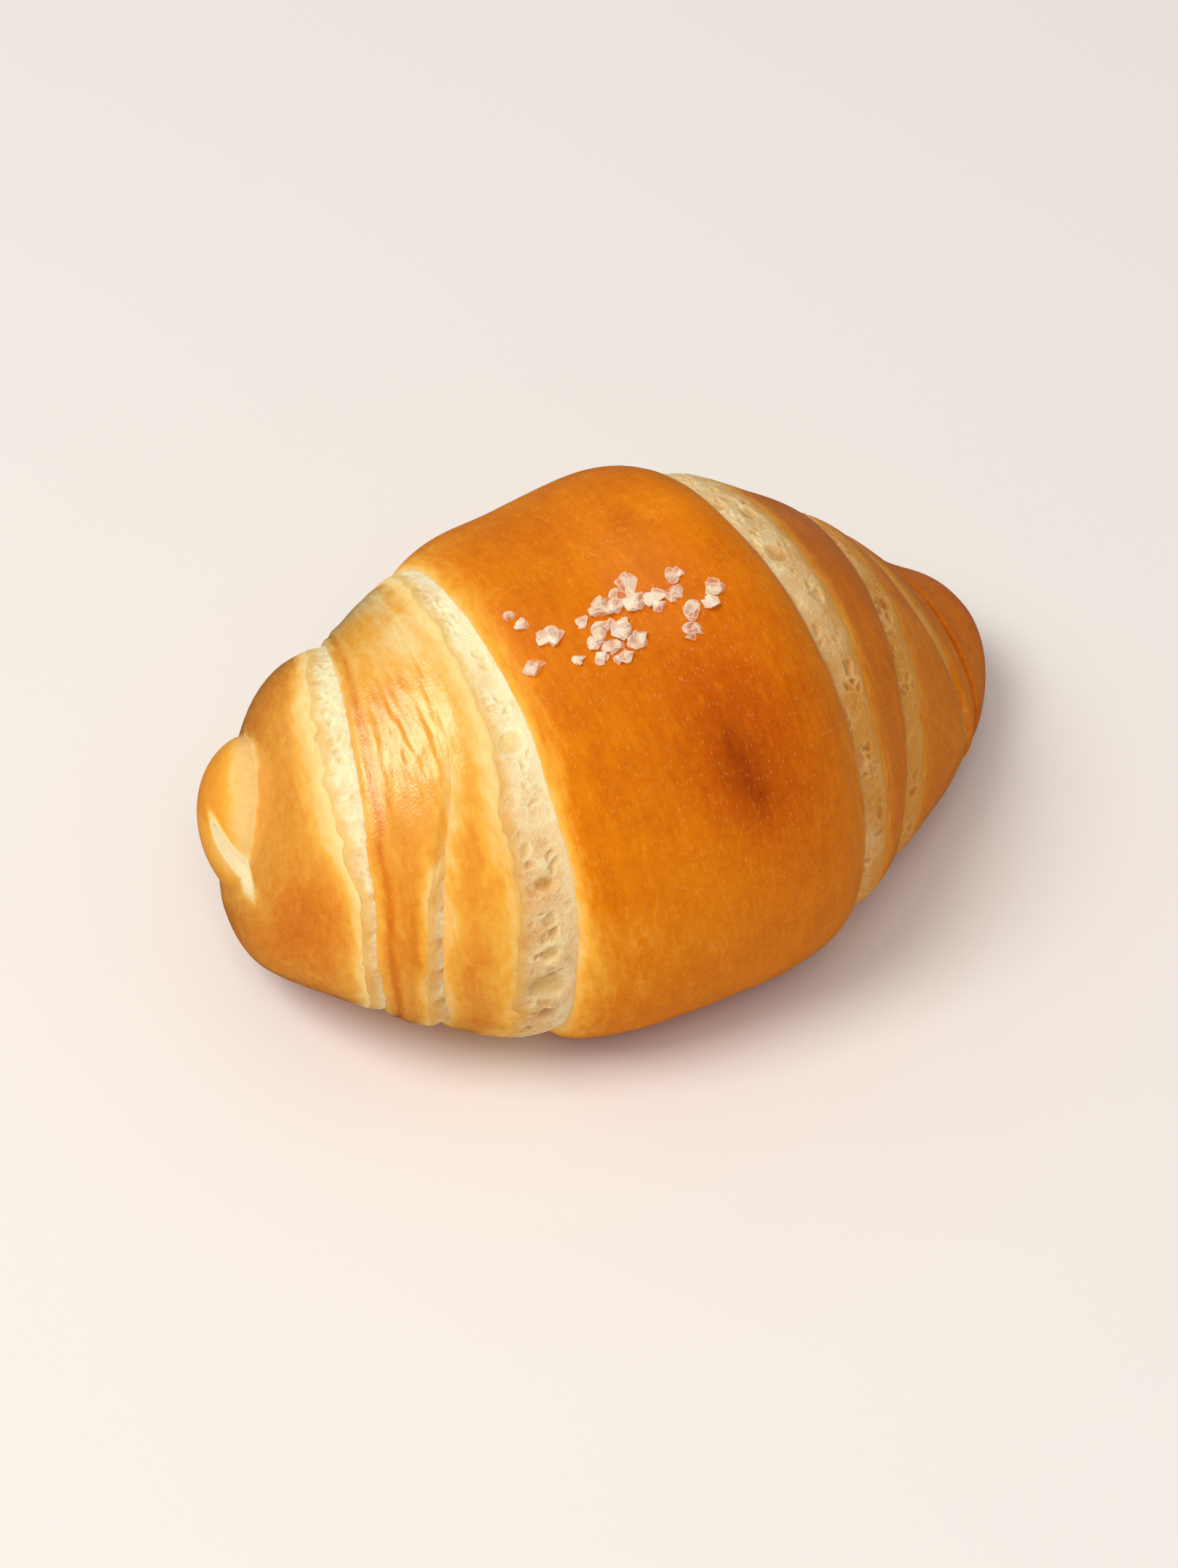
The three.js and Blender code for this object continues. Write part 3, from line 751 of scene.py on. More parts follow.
def baked_crust(look):
    """Egg-and-butter glazed bread crust, pale where the dough has torn."""
    # Baked crust: golden to brown with the dough's strands drawn along each wind, tiny pale
    # blisters, and a buttery satin sheen that breaks up on the strands. Torn dough is matt and
    # pale.
    material, tree = new_material("baked_crust")
    place = add_node(tree, "ShaderNodeTexCoord").outputs["Object"]
    mm = add_node(tree, "ShaderNodeMapping", {"Vector": place, "Scale": (1 / MM, 1 / MM, 1 / MM)})
    bake, crumb, pulled, glazed = (
        add_node(tree, "ShaderNodeAttribute", attribute_name=name).outputs["Fac"]
        for name in ("bake", "crumb", "pulled", "glaze"))
    strand = add_node(tree, "ShaderNodeAttribute", attribute_name="strand").outputs["Vector"]
    # Blotches of the oven's heat about 12 mm wide, and mottling a millimetre wide.
    blotches = add_node(tree, "ShaderNodeTexNoise", {"Vector": mm, "Scale": 0.08, "Detail": 3})
    mottle = add_node(tree, "ShaderNodeTexNoise", {
        "Vector": mm, "Scale": 0.9, "Detail": 4, "Roughness": 0.6})
    # Strands about a millimetre wide, drawn out along the wind, with finer ones in them.
    strands = add_node(tree, "ShaderNodeTexNoise", {
        "Vector": strand, "Scale": 0.8, "Detail": 4, "Roughness": 0.55})
    tone = add_node(tree, "ShaderNodeMath", {0: blotches, 1: 0.2, 2: bake},
                    operation="MULTIPLY_ADD")
    tone = add_node(tree, "ShaderNodeMath", {0: mottle, 1: 0.14, 2: tone},
                    operation="MULTIPLY_ADD")
    drawn = add_node(tree, "ShaderNodeMapRange", {0: strands, 1: 0.3, 2: 0.7, 3: -1.0, 4: 1.0})
    amount = add_node(tree, "ShaderNodeMath", {0: pulled, 1: 0.06, 2: 0.02},
                      operation="MULTIPLY_ADD")
    tone = add_node(tree, "ShaderNodeMath", {0: drawn, 1: amount, 2: tone},
                    operation="MULTIPLY_ADD")
    tone = add_node(tree, "ShaderNodeMath", {0: tone, 1: 0.17}, operation="SUBTRACT")
    # Where the skin has torn it keeps about half its colour, with a border ragged by noise lumps
    # 0.7 mm wide.
    frayed = add_node(tree, "ShaderNodeTexNoise", {
        "Vector": strand, "Scale": 1.4, "Detail": 4, "Roughness": 0.6})
    ragged = add_node(tree, "ShaderNodeMath", {0: frayed, 1: 0.8, 2: crumb},
                      operation="MULTIPLY_ADD")
    bare = add_node(tree, "ShaderNodeMapRange", {0: ragged, 1: 0.4, 2: 1.4})
    kept = add_node(tree, "ShaderNodeMapRange", {0: bare, 3: 1.0, 4: 0.54})
    tone = add_node(tree, "ShaderNodeMath", {0: tone, 1: kept}, operation="MULTIPLY")
    crust = add_node(tree, "ShaderNodeValToRGB", {"Fac": tone})
    steps = ((0, look.raw), (0.22, look.pale), (0.42, look.golden), (0.6, look.amber),
             (0.78, look.brown), (1, look.burnt))
    stops = crust.color_ramp.elements
    while len(stops) < len(steps):
        stops.new(0.5)
    for stop, (place_on_ramp, colour) in zip(stops, steps):
        stop.position = place_on_ramp
        stop.color = (*colour, 1)
    # Tiny pale blisters in the glaze, an eighth of a millimetre wide and drawn out along the wind.
    cells = add_node(tree, "ShaderNodeTexVoronoi", {"Vector": strand, "Scale": 4.6}, feature="F1")
    dot = add_node(tree, "ShaderNodeMapRange", {
        0: cells.outputs["Distance"], 1: 0.0, 2: 0.3, 3: 1.0, 4: 0.0})
    picked = add_node(tree, "ShaderNodeMapRange", {0: cells.outputs["Color"], 1: 0.4, 2: 0.95})
    blister = add_node(tree, "ShaderNodeMath", {0: dot, 1: picked}, operation="MULTIPLY")
    whole = add_node(tree, "ShaderNodeMapRange", {0: bare, 1: 0.0, 2: 0.6, 3: 0.65, 4: 0.0})
    pale = add_node(tree, "ShaderNodeMath", {0: blister, 1: whole}, operation="MULTIPLY")
    colour = add_node(tree, "ShaderNodeMix", {
        "Factor": pale, 6: crust, 7: (*look.blister, 1)}, data_type="RGBA")
    # The glaze is thicker and smoother in some places than in others, and torn dough has none.
    smears = add_node(tree, "ShaderNodeTexNoise", {
        "Vector": strand, "Scale": 2.6, "Detail": 3, "Roughness": 0.6})
    glaze = add_node(tree, "ShaderNodeMapRange", {0: smears, 1: 0.35, 2: 0.68, 3: 0.3, 4: 0.46})
    rough = add_node(tree, "ShaderNodeMix", {"Factor": bare, "A": glaze, "B": 0.85})
    coat = add_node(tree, "ShaderNodeMapRange", {0: bare, 1: 0.0, 2: 0.7, 3: glazed, 4: 0.0})
    sheen = add_node(tree, "ShaderNodeMapRange", {0: coat, 3: 0.06, 4: 0.4})
    # Relief in mm: drawn strands, a fine leathery skin and the blisters.
    leather = add_node(tree, "ShaderNodeTexNoise", {
        "Vector": mm, "Scale": 2.2, "Detail": 3, "Roughness": 0.6})
    strand_height = add_node(tree, "ShaderNodeMapRange", {0: pulled, 3: 0.05, 4: 0.2})
    relief = add_node(tree, "ShaderNodeMath", {0: strands, 1: strand_height},
                      operation="MULTIPLY")
    relief = add_node(tree, "ShaderNodeMath", {0: leather, 1: 0.07, 2: relief},
                      operation="MULTIPLY_ADD")
    relief = add_node(tree, "ShaderNodeMath", {0: blister, 1: 0.05, 2: relief},
                      operation="MULTIPLY_ADD")
    bump = add_node(tree, "ShaderNodeBump", {"Height": relief, "Strength": 0.8, "Distance": MM})
    shader = add_node(tree, "ShaderNodeBsdfPrincipled", {
        "Base Color": colour.outputs[2],
        "Roughness": rough,
        "IOR": 1.45,
        "Specular IOR Level": sheen,
        "Coat Weight": coat,
        "Coat Roughness": 0.17,
        "Coat IOR": 1.45,
        "Coat Normal": bump,
        "Sheen Weight": 0.08,
        "Sheen Roughness": 0.4,
        "Sheen Tint": (1, 0.75, 0.6, 1),
        "Normal": bump,
        "Subsurface Weight": 0.12,
        "Subsurface Radius": (1, 0.45, 0.15),
        "Subsurface Scale": 1.5 * MM,
    })
    add_node(tree, "ShaderNodeOutputMaterial", {"Surface": shader})
    return material


def torn_bread(look):
    """Steamed crumb, torn open: soft, matt and pale, with thin walls round its bubbles."""
    # Bread crumb: creamy thin walls painted paler, as painted light, and the bubbles between them
    # painted a deeper yellow, as painted shade; the side away from the seam has taken colour in the
    # oven.
    material, tree = new_material("torn_bread_crumb")
    place = add_node(tree, "ShaderNodeTexCoord").outputs["Object"]
    mm = add_node(tree, "ShaderNodeMapping", {"Vector": place, "Scale": (1 / MM, 1 / MM, 1 / MM)})
    wall, toast, skin = (
        add_node(tree, "ShaderNodeAttribute", attribute_name=name).outputs["Fac"]
        for name in ("wall", "toast", "skin"))
    # Crumb cells 0.4 mm wide, too fine for the mesh to carry, painted darker in their middles as
    # painted shade and paler at their walls as painted light, and browner patches 4 mm wide.
    fine = add_node(tree, "ShaderNodeTexVoronoi", {"Vector": mm, "Scale": 2.6}, feature="F1")
    patches = add_node(tree, "ShaderNodeTexNoise", {"Vector": mm, "Scale": 0.25, "Detail": 3})
    deep = add_node(tree, "ShaderNodeMapRange", {0: fine, 1: 0.15, 2: 0.6, 3: -0.1, 4: 0.1})
    wall = add_node(tree, "ShaderNodeMath", {0: wall, 1: deep}, operation="ADD", use_clamp=True)
    browned = add_node(tree, "ShaderNodeMapRange", {0: patches, 1: 0.3, 2: 0.7, 3: -0.2, 4: 0.2})
    toast = add_node(tree, "ShaderNodeMath", {0: toast, 1: browned}, operation="ADD",
                     use_clamp=True)
    # The walls' paler colour is painted light, the bubbles' deeper colour painted shade.
    fresh = add_node(tree, "ShaderNodeMix", {
        "Factor": wall, 6: (*look.bubble, 1), 7: (*look.wall, 1)}, data_type="RGBA")
    toasted = add_node(tree, "ShaderNodeMix", {
        "Factor": wall, 6: (*look.toasted_bubble, 1), 7: (*look.toasted_wall, 1)},
        data_type="RGBA")
    colour = add_node(tree, "ShaderNodeMix", {
        "Factor": toast, 6: fresh.outputs[2], 7: toasted.outputs[2]}, data_type="RGBA")
    # Beside the crust the torn dough keeps a thin yellow skin.
    frayed = add_node(tree, "ShaderNodeTexNoise", {"Vector": mm, "Scale": 0.9, "Detail": 4})
    skin = add_node(tree, "ShaderNodeMath", {0: frayed, 1: 0.7, 2: skin},
                    operation="MULTIPLY_ADD")
    skin = add_node(tree, "ShaderNodeMapRange", {0: skin, 1: 0.45, 2: 1.25})
    torn_skin = add_node(tree, "ShaderNodeMix", {
        "Factor": toast, 6: (*look.skin, 1), 7: (*look.toasted_skin, 1)}, data_type="RGBA")
    colour = add_node(tree, "ShaderNodeMix", {
        "Factor": skin, 6: colour.outputs[2], 7: torn_skin.outputs[2]}, data_type="RGBA")
    rough = add_node(tree, "ShaderNodeMapRange", {0: wall, 3: 0.45, 4: 0.7})
    relief = add_node(tree, "ShaderNodeMath", {0: fine, 1: 0.12}, operation="MULTIPLY")
    bump = add_node(tree, "ShaderNodeBump", {"Height": relief, "Strength": 0.6, "Distance": MM})
    shader = add_node(tree, "ShaderNodeBsdfPrincipled", {
        "Base Color": colour.outputs[2],
        "Roughness": rough,
        "IOR": 1.4,
        "Specular IOR Level": 0.35,
        "Normal": bump,
        "Subsurface Weight": 0.5,
        "Subsurface Radius": (1, 0.7, 0.35),
        "Subsurface Scale": 1.2 * MM,
    })
    add_node(tree, "ShaderNodeOutputMaterial", {"Surface": shader})
    return material


def rock_salt(look):
    """Coarse sea salt, as broken crystals."""
    # Salt crystals: milky and creamy inside, with the crust showing through where they are clear,
    # white edges and wet-looking facets. Light scattered inside them lifts their shaded facets,
    # which the faint emission stands for. The milky lumps are about 2 mm wide.
    material, tree = new_material("coarse_sea_salt")
    place = add_node(tree, "ShaderNodeTexCoord").outputs["Object"]
    mm = add_node(tree, "ShaderNodeMapping", {"Vector": place, "Scale": (1 / MM, 1 / MM, 1 / MM)})
    edge = add_node(tree, "ShaderNodeAttribute", attribute_name="edge").outputs["Fac"]
    colour = add_node(tree, "ShaderNodeMix", {
        "Factor": edge, 6: (*look.inside, 1), 7: (*look.edge, 1)}, data_type="RGBA")
    milk = add_node(tree, "ShaderNodeTexNoise", {"Vector": mm, "Scale": 0.45, "Detail": 1})
    rough = add_node(tree, "ShaderNodeMapRange", {0: milk, 1: 0.35, 2: 0.65, 3: 0.15, 4: 0.45})
    cloudy = add_node(tree, "ShaderNodeMapRange", {0: milk, 1: 0.42, 2: 0.6, 3: 0.15, 4: 0.75})
    rim = add_node(tree, "ShaderNodeMath", {0: edge, 1: 0.7}, operation="MULTIPLY")
    solid = add_node(tree, "ShaderNodeMath", {0: cloudy, 1: rim}, operation="MAXIMUM")
    shader = add_node(tree, "ShaderNodeBsdfPrincipled", {
        "Base Color": colour.outputs[2],
        "Roughness": rough,
        "IOR": 1.4,
        "Alpha": solid,
        "Emission Color": (*look.inside, 1),
        "Emission Strength": 0.08,
    })
    add_node(tree, "ShaderNodeOutputMaterial", {"Surface": shader})
    return material


def matt_paint(look):
    """Matt wall paint, for the floor."""
    # Matt paint: one soft pale tone with a very faint unevenness.
    material, tree = new_material("pale_matt_paint")
    place = add_node(tree, "ShaderNodeTexCoord").outputs["Object"]
    cloud = add_node(tree, "ShaderNodeTexNoise", {"Vector": place, "Scale": 3, "Detail": 1})
    rough = add_node(tree, "ShaderNodeMapRange", {0: cloud, 3: 0.85, 4: 0.95})
    shader = add_node(tree, "ShaderNodeBsdfPrincipled", {
        "Base Color": (*look.floor, 1),
        "Roughness": rough,
        "Specular IOR Level": 0.1,
    })
    add_node(tree, "ShaderNodeOutputMaterial", {"Surface": shader})
    return material


def add_piece(mesh):
    """A mesh as an object in the scene, under the mesh's own name."""
    piece = bpy.data.objects.new(mesh.name, mesh)
    bpy.context.scene.collection.objects.link(piece)
    return piece


def remove_piece(piece):
    """Removes an object and its mesh."""
    mesh = piece.data
    bpy.data.objects.remove(piece)
    bpy.data.meshes.remove(mesh)


def boolean(piece, tool, operation):
    """Joins or cuts the piece with a tool object, and removes the tool."""
    clear_selection()
    bpy.context.view_layer.objects.active = piece
    piece.select_set(True)
    step = piece.modifiers.new(operation.lower(), "BOOLEAN")
    step.operation, step.object, step.solver = operation, tool, "MANIFOLD"
    bpy.ops.object.modifier_apply(modifier=step.name)
    remove_piece(tool)


def add_egg(name, centre, radii, segments, rings, axes):
    """A uv sphere stretched to an egg along its axes, with its place in its mesh."""
    clear_selection()
    bpy.ops.mesh.primitive_uv_sphere_add(segments=segments, ring_count=rings, radius=1)
    egg = bpy.context.object
    egg.name = name
    turn = Matrix(axes).transposed().to_4x4() @ Matrix.Diagonal((*(r * MM for r in radii), 1))
    egg.data.transform(Matrix.Translation(placed(centre)) @ turn)
    return egg


def square_axes(along, inward):
    """Three square directions: along, inward as nearly as it can be, and across both."""
    along = Vector(along).normalized()
    across = along.cross(Vector(inward).normalized())
    return tuple(along), tuple(across.cross(along)), tuple(across)


def egg_level(places, centre, radii, axes):
    """How far out places lie from an egg's centre: 1 on its skin."""
    return np.linalg.norm((places - centre) @ np.array(axes).T / radii, axis=1)


def tuck_knob(knob):
    """Tucks the side of the knob that lies behind the crease under the outer wind."""
    share, start, reach = KNOB_TUCK
    for vertex in knob.data.vertices:
        place = np.array(vertex.co) / MM + FORM_MIDDLE
        behind = smooth_share((place @ CREASE_FACING - CREASE_AT + start) / reach)
        over = smooth_share((place - SLIT_CENTRE) @ SLIT_OVER / 3 + 0.5)
        place = KNOB_CENTRE + (place - KNOB_CENTRE) * (1 - share * behind * over)
        vertex.co = placed(place)


def gaps_to(skin, places):
    """How far each place lies from a skin, in mm."""
    return np.array([skin.find_nearest(placed(place))[3] / MM for place in places])


def colour_knob_and_slit(mesh, winds, knob_skin, lens):
    """Stores how brown, torn and glazed the roll is on its knob, by the crease and at the slit,
    with the knob's paleness by the crease partly painted light on its tucked side, and painted
    shade under its lip over the slit.
    """
    places = vertex_places(mesh)
    bake, crumb, glaze = (read_values(mesh, name) for name in ("bake", "crumb", "glaze"))
    from_lens = egg_level(places, SLIT_CENTRE, SLIT_RADII, lens) - 1
    in_slit = np.abs(from_lens) < IN_SLIT
    # Where the knob meets the winds, the join has left points without values.
    knob = (gaps_to(winds, places) > OFF_WINDS) | (bake < UNSET_BAKE)
    knob = knob & (places[:, 0] < KNOB_LIMIT) & ~in_slit
    below = 1 - smooth_share((places - SLIT_CENTRE) @ SLIT_OVER + 0.5)
    # By the crease the knob is paler: partly its paler dough, partly painted light on its tucked
    # side, which lies in shade.
    paler, off, width = CREASE_PALE_AND_LIT
    crease_pale_and_lit = paler * fading(places @ CREASE_FACING - CREASE_AT + off, width) * (1 - below)
    from_slit = np.linalg.norm((places - SLIT_CENTRE) / SLIT_AROUND, axis=1)
    # Over the slit the knob is painted darker, as painted shade under its overhanging lip.
    lip_shade, width = SLIT_LIP_SHADE
    lip = lip_shade * fading(from_slit, width) * (1 - below)
    knob_bake = KNOB_BAKE - crease_pale_and_lit + lip
    bake += (knob_bake - bake) * fading(gaps_to(knob_skin, places), CREASE_SOFT)
    bake[knob], crumb[knob], glaze[knob] = knob_bake[knob], 0, KNOB_GLAZE
    paler, width = SLIT_PALER
    bake -= paler * fading(from_slit, width) * below
    rim = fading(np.maximum(from_lens, 0), SLIT_RIM)
    crumb = np.maximum(crumb, RIM_TORN * rim)
    bake *= 1 - RIM_PALER * rim
    bake[in_slit], crumb[in_slit] = SLIT_BAKE, 1
    for name, values in (("bake", bake), ("crumb", crumb), ("glaze", glaze)):
        store_values(mesh, name, values)


def smooth_and_finish(piece, crease_angle):
    """Smooths the piece's shading except over sharp creases, and puts it on the bread's body."""
    clear_selection()
    piece.select_set(True)
    bpy.context.view_layer.objects.active = piece
    bpy.ops.object.shade_smooth_by_angle(angle=crease_angle)
    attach(piece, BODY)


def colour_setting(name, description, default):
    """A colour that the user can change."""
    return bpy.props.FloatVectorProperty(
        name=name, description=description, subtype="COLOR", size=3, min=0, max=1,
        default=srgb(default)[:3])


def length_setting(name, description, default):
    """A length that the user can change, with its default in mm."""
    return bpy.props.FloatProperty(
        name=name, description=description, unit="LENGTH", subtype="DISTANCE", precision=4,
        default=default * MM)


def power_setting(name, description, default):
    """A light's power that the user can change."""
    return bpy.props.FloatProperty(
        name=name, description=description, subtype="POWER", unit="POWER", default=default)


def size_setting(name, description, default):
    """A light's width that the user can change, with its default in metres."""
    return bpy.props.FloatProperty(
        name=name, description=description, subtype="DISTANCE", unit="LENGTH", default=default)


class BreadForm(bpy.types.PropertyGroup):
    """Sizes of the roll and its torn crumb."""

    columns: bpy.props.IntProperty(
        name="Columns", description="Columns of points round the girth", default=370, min=60)
    waver: length_setting("Waver", "How far the edges of the winds waver", 0.4)
    crumb_step: length_setting("Crumb step", "Distance between the crumb's points", 0.26)
    crumb_cell: length_setting("Bubble width", "Width of a bubble in the crumb", 1.65)
    crumb_relief: length_setting("Crumb relief", "Height of the crumb's walls", 0.4)


class CrustLook(bpy.types.PropertyGroup):
    """Colours of the crust, from raw to burnt."""

    raw: colour_setting("Raw", "Torn dough", "#fdf0cf")
    pale: colour_setting("Pale", "Barely baked crust", "#fbdc94")
    golden: colour_setting("Golden", "Lightly baked crust", "#f6ae3a")
    amber: colour_setting("Amber", "Baked crust", "#e27f0a")
    brown: colour_setting("Brown", "Well baked crust", "#c25a06")
    burnt: colour_setting("Burnt", "Darkest crust", "#8f3404")
    blister: colour_setting("Blister", "Tiny pale blisters", "#ffd288")


class CrumbLook(bpy.types.PropertyGroup):
    """Colours of the torn crumb: the paler wall colours stand for painted light, the deeper bubble
    colours for painted shade.
    """

    wall: colour_setting("Wall", "Fresh walls between bubbles", "#fff5cc")
    bubble: colour_setting("Bubble", "Inside of fresh bubbles", "#f8d684")
    toasted_wall: colour_setting("Toasted wall", "Toasted walls between bubbles", "#e6a64a")
    toasted_bubble: colour_setting("Toasted bubble", "Inside of toasted bubbles", "#c47328")
    skin: colour_setting("Skin", "Torn skin beside the crust", "#f9cf7e")
    toasted_skin: colour_setting("Toasted skin", "Toasted torn skin", "#de9640")


class SaltLook(bpy.types.PropertyGroup):
    """Size and colour of the salt."""

    scale: bpy.props.FloatProperty(
        name="Scale", description="Size of the grains against the table", default=1.3, min=0.1)
    seed: bpy.props.IntProperty(name="Seed", description="How the grains are turned", default=20)
    inside: colour_setting("Inside", "Milky inside of the crystals", "#fbe8cc")
    edge: colour_setting("Edge", "White edges of the crystals", "#fff2e2")


class StageLook(bpy.types.PropertyGroup):
    """The floor and the light."""

    floor: colour_setting("Floor", "Colour of the floor", "#f2ebe3")
    window_power: power_setting("Window light", "Power of the soft light at the left", 9.8)
    window_size: size_setting("Window size", "Width of the light at the left", 0.7)
    front_power: power_setting("Front light", "Power of the soft light in front", 3.4)
    front_size: size_setting("Front size", "Width of the light in front", 0.7)
    gloss_power: power_setting("Gloss light", "Power of the light that the glaze mirrors", 14)
    low_gloss_power: power_setting("Low gloss", "Power of the low light at the left", 9)
    gloss_colour: colour_setting("Gloss colour", "Colour of the light in the glaze", "#fff4da")
    gloss_size: size_setting("Gloss size", "Width of the light that the glaze mirrors", 0.75)
    fill: bpy.props.FloatProperty(
        name="Fill", description="Strength of the light from all round", default=0.43)


class BREAD_OT_roll(bpy.types.Operator):
    """Makes the wound roll with its knob, slit and crust"""

    bl_idname = "bread.make_roll"
    bl_label = "Make the roll"

    def execute(self, context):
        roll = add_piece(make_roll_mesh(context.scene.bread_form))
        knob = add_egg("knob", KNOB_CENTRE, KNOB_RADII, *KNOB_STEPS, UPRIGHT)
        winds = BVHTree.FromObject(roll, context.evaluated_depsgraph_get())
        tuck_knob(knob)
        knob_skin = BVHTree.FromObject(knob, context.evaluated_depsgraph_get())
        boolean(roll, knob, "UNION")
        lens = square_axes(SLIT_ALONG, SLIT_INWARD)
        boolean(roll, add_egg("slit", SLIT_CENTRE, SLIT_RADII, *SLIT_STEPS, lens), "DIFFERENCE")
        mesh = roll.data
        colour_knob_and_slit(mesh, winds, knob_skin, lens)
        mesh.materials.clear()
        mesh.materials.append(baked_crust(context.scene.crust_look))
        smooth_and_finish(roll, math.radians(50))
        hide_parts(NODE)
        return {"FINISHED"}


class BREAD_OT_crumb(bpy.types.Operator):
    """Fills every torn seam with its strip of crumb"""

    bl_idname = "bread.make_crumb"
    bl_label = "Make the torn crumb"

    def execute(self, context):
        noise.seed_set(CRUMB_SEED)
        material = torn_bread(context.scene.crumb_look)
        for index in CRUMB_SEAMS:
            strip = add_piece(make_crumb_mesh(index, context.scene.bread_form))
            strip.data.materials.append(material)
            smooth_and_finish(strip, math.radians(180))
        return {"FINISHED"}


def salt_crystal(seed):
    """One broken crystal about 1 unit across, cut from a ball by flat breaks."""
    rng = random.Random(seed)
    clear_selection()
    bpy.ops.mesh.primitive_ico_sphere_add(subdivisions=2, radius=CRYSTAL_RADIUS)
    crystal = bpy.context.object
    bpy.ops.object.mode_set(mode="EDIT")
    for _ in range(BREAKS):
        bpy.ops.mesh.select_all(action="SELECT")
        flat = Vector([rng.uniform(-1, 1) for _ in range(3)]).normalized()
        bpy.ops.mesh.bisect(
            plane_co=flat * rng.uniform(*BREAK_PLACES), plane_no=flat, use_fill=True,
            clear_outer=True)
    bpy.ops.mesh.select_all(action="SELECT")
    bpy.ops.mesh.dissolve_limited(angle_limit=math.radians(15))
    bpy.ops.mesh.select_all(action="SELECT")
    bpy.ops.mesh.inset(thickness=EDGE_WIDTH, use_individual=True)
    bpy.ops.object.mode_set(mode="OBJECT")
    inner = np.array([vertex.select for vertex in crystal.data.vertices], float)
    store_values(crystal.data, "edge", 1 - inner)
    return crystal


def grain_seat(x, y):
    """The place on the centre band's crust at x along and y across the roll."""
    half = station_curve(HALF_WIDTH, np.array([float(x)]))[0]
    a = np.array([math.asin(math.copysign(abs(y / half) ** (1 / TOP_CURVE[0]), y))])
    start, end = band_limits(a, 0)[CENTRE_BAND:CENTRE_BAND + 2]
    left = BandSide(CENTRE_BAND, -1, a, end - start)
    right = BandSide(CENTRE_BAND, 1, a, end - start)
    rise = band_rise(CENTRE_BAND, a, x - start, end - start, left, right)
    return surface_point(np.array([float(x)]), a, rise)[0]


def grain_crystals(x, y, size, rng):
    """The place and width of a grain's main crystal and of its splinters."""
    seat = grain_seat(x, y)
    seat[2] += size / 2 * GRAIN_SQUASH * (1 - 2 * GRAIN_SUNK)
    crystals = [(seat, size * GRAIN_BODY)]
    for _ in range(SPLINTERS):
        way = rng.uniform(0, math.tau)
        level = rng.uniform(*SPLINTER_LEVELS)
        side = np.array([math.cos(way), math.sin(way), level]) * (size * SPLINTER_REACH)
        crystals.append((seat + side, size * rng.uniform(*SPLINTER_SIZE)))
    return crystals


class BREAD_OT_salt(bpy.types.Operator):
    """Scatters the grains of coarse salt on the centre band"""

    bl_idname = "bread.make_salt"
    bl_label = "Make the salt"

    def execute(self, context):
        look = context.scene.salt_look
        rng = random.Random(look.seed)
        forms = [salt_crystal(look.seed + i) for i in range(CRYSTAL_FORMS)]
        whole = bmesh.new()
        for x, y, size in SALT_GRAINS:
            for place, width in grain_crystals(x, y, size, rng):
                turn = Matrix.Rotation(rng.uniform(0, math.tau), 4, "Z")
                turn = turn @ Matrix.Rotation(rng.uniform(0, math.tau), 4, "X")
                wide = width * look.scale * MM
                squash = Matrix.Diagonal((wide, wide, wide * GRAIN_SQUASH, 1))
                copy = rng.choice(forms).data.copy()
                copy.transform(Matrix.Translation(placed(place)) @ squash @ turn)
                whole.from_mesh(copy)
                bpy.data.meshes.remove(copy)
        mesh = bpy.data.meshes.new("coarse_salt")
        whole.to_mesh(mesh)
        whole.free()
        mesh.materials.append(rock_salt(look))
        salt = add_piece(mesh)
        for form in forms:
            remove_piece(form)
        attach(salt, BODY)
        return {"FINISHED"}


def camera_axes():
    """The directions to the camera, to its right and up in its picture."""
    turn, rise = CAMERA_TURN, CAMERA_RISE
    towards = Vector((math.sin(turn) * math.cos(rise), -math.cos(turn) * math.cos(rise),
                      math.sin(rise)))
    right = Vector((math.cos(turn), math.sin(turn), 0))
    return towards, right, towards.cross(right)


def soft_light(name, place, size, power, colour, mirrored):
    """A round soft light that faces the bread, and is either only mirrored in it or only lights
    it. Its place is as in the tables."""
    _, right, up = camera_axes()
    place = Matrix((right, up, (0, 0, 1))).transposed() @ Vector(place)
    bpy.ops.object.light_add(type="AREA", location=place)
    light = bpy.context.object
    light.name = name
    light.rotation_mode = "QUATERNION"
    light.rotation_quaternion = (-place).to_track_quat("-Z", "Y")
    light.data.shape = "DISK"
    light.data.size = size
    light.data.energy = power
    light.data.color = colour
    light.visible_glossy = mirrored
    light.visible_diffuse = not mirrored


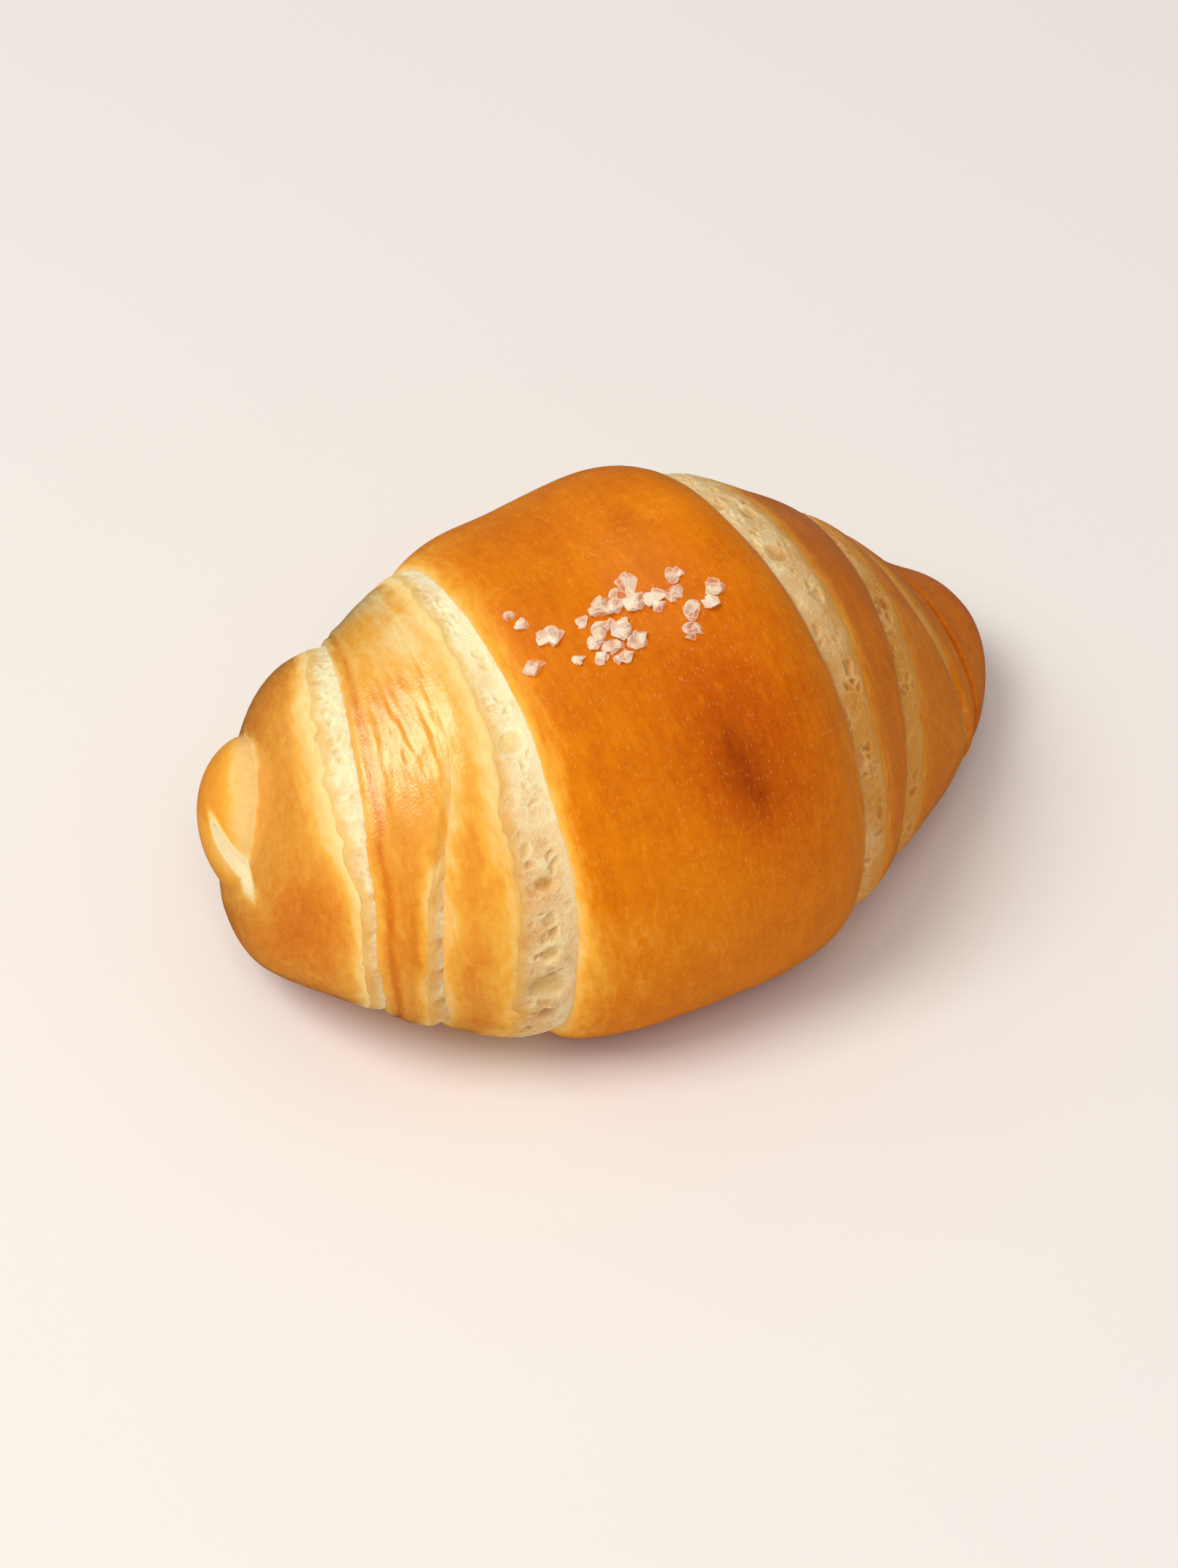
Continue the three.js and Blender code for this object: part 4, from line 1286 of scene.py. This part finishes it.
class BREAD_OT_stage(bpy.types.Operator):
    """Sets the pale floor, the soft light and the camera"""

    bl_idname = "bread.make_stage"
    bl_label = "Set the stage"

    def execute(self, context):
        look = context.scene.stage_look
        clear_selection()
        bpy.ops.mesh.primitive_plane_add(size=8)
        floor = context.object
        floor.name = "floor"
        floor.data.materials.append(matt_paint(look))
        towards, right, up = camera_axes()
        aim = Vector((0, 0, AIM_LEVEL)) + right * AIM_RIGHT + up * AIM_UP
        bpy.ops.object.camera_add(location=(aim + towards * CAMERA_DISTANCE) * MM)
        camera = context.object
        camera.rotation_mode = "QUATERNION"
        camera.rotation_quaternion = (-towards).to_track_quat("-Z", "Y")
        camera.data.lens = CAMERA_LENS
        camera.data.clip_start = 0.01
        context.scene.camera = camera
        soft_light("window_light", WINDOW_PLACE, look.window_size, look.window_power, WHITE, False)
        soft_light("front_light", FRONT_PLACE, look.front_size, look.front_power, WHITE, False)
        soft_light("gloss_light", GLOSS_PLACE, look.gloss_size, look.gloss_power,
                   look.gloss_colour, True)
        soft_light("low_gloss_light", LOW_GLOSS_PLACE, look.gloss_size, look.low_gloss_power,
                   look.gloss_colour, True)
        world = bpy.data.worlds.new("soft_room")
        context.scene.world = world
        world.use_nodes = True
        background = world.node_tree.nodes["Background"]
        background.inputs["Color"].default_value = (1, 1, 1, 1)
        background.inputs["Strength"].default_value = look.fill
        world.cycles_visibility.glossy = False
        floor.visible_glossy = False
        context.scene.view_settings.view_transform = "Standard"
        context.scene.view_settings.look = "None"
        return {"FINISHED"}


class BREAD_PT_panel(bpy.types.Panel):
    """Lists the steps and their settings"""

    bl_label = "Salt Bread"
    bl_idname = "BREAD_PT_panel"
    bl_space_type = "VIEW_3D"
    bl_region_type = "UI"
    bl_category = "Salt Bread"

    def draw(self, context):
        for name, kind in GROUPS.items():
            box = self.layout.box()
            for setting in kind.__annotations__:
                box.prop(getattr(context.scene, name), setting)
        for operator in OPERATORS:
            self.layout.operator(operator.bl_idname)


GROUPS = {"bread_form": BreadForm, "crust_look": CrustLook, "crumb_look": CrumbLook,
          "salt_look": SaltLook, "stage_look": StageLook}
OPERATORS = (BREAD_OT_roll, BREAD_OT_crumb, BREAD_OT_salt, BREAD_OT_stage)


def register():
    for name, group in GROUPS.items():
        bpy.utils.register_class(group)
        setattr(bpy.types.Scene, name, bpy.props.PointerProperty(type=group))
    for kind in (*OPERATORS, BREAD_PT_panel):
        bpy.utils.register_class(kind)


def unregister():
    for kind in (BREAD_PT_panel, *reversed(OPERATORS)):
        bpy.utils.unregister_class(kind)
    for name, group in reversed(GROUPS.items()):
        delattr(bpy.types.Scene, name)
        bpy.utils.unregister_class(group)


def main():
    register()
    bpy.ops.bread.make_roll()
    bpy.ops.bread.make_crumb()
    bpy.ops.bread.make_salt()
    bpy.ops.bread.make_stage()


if __name__ == "__main__":
    main()
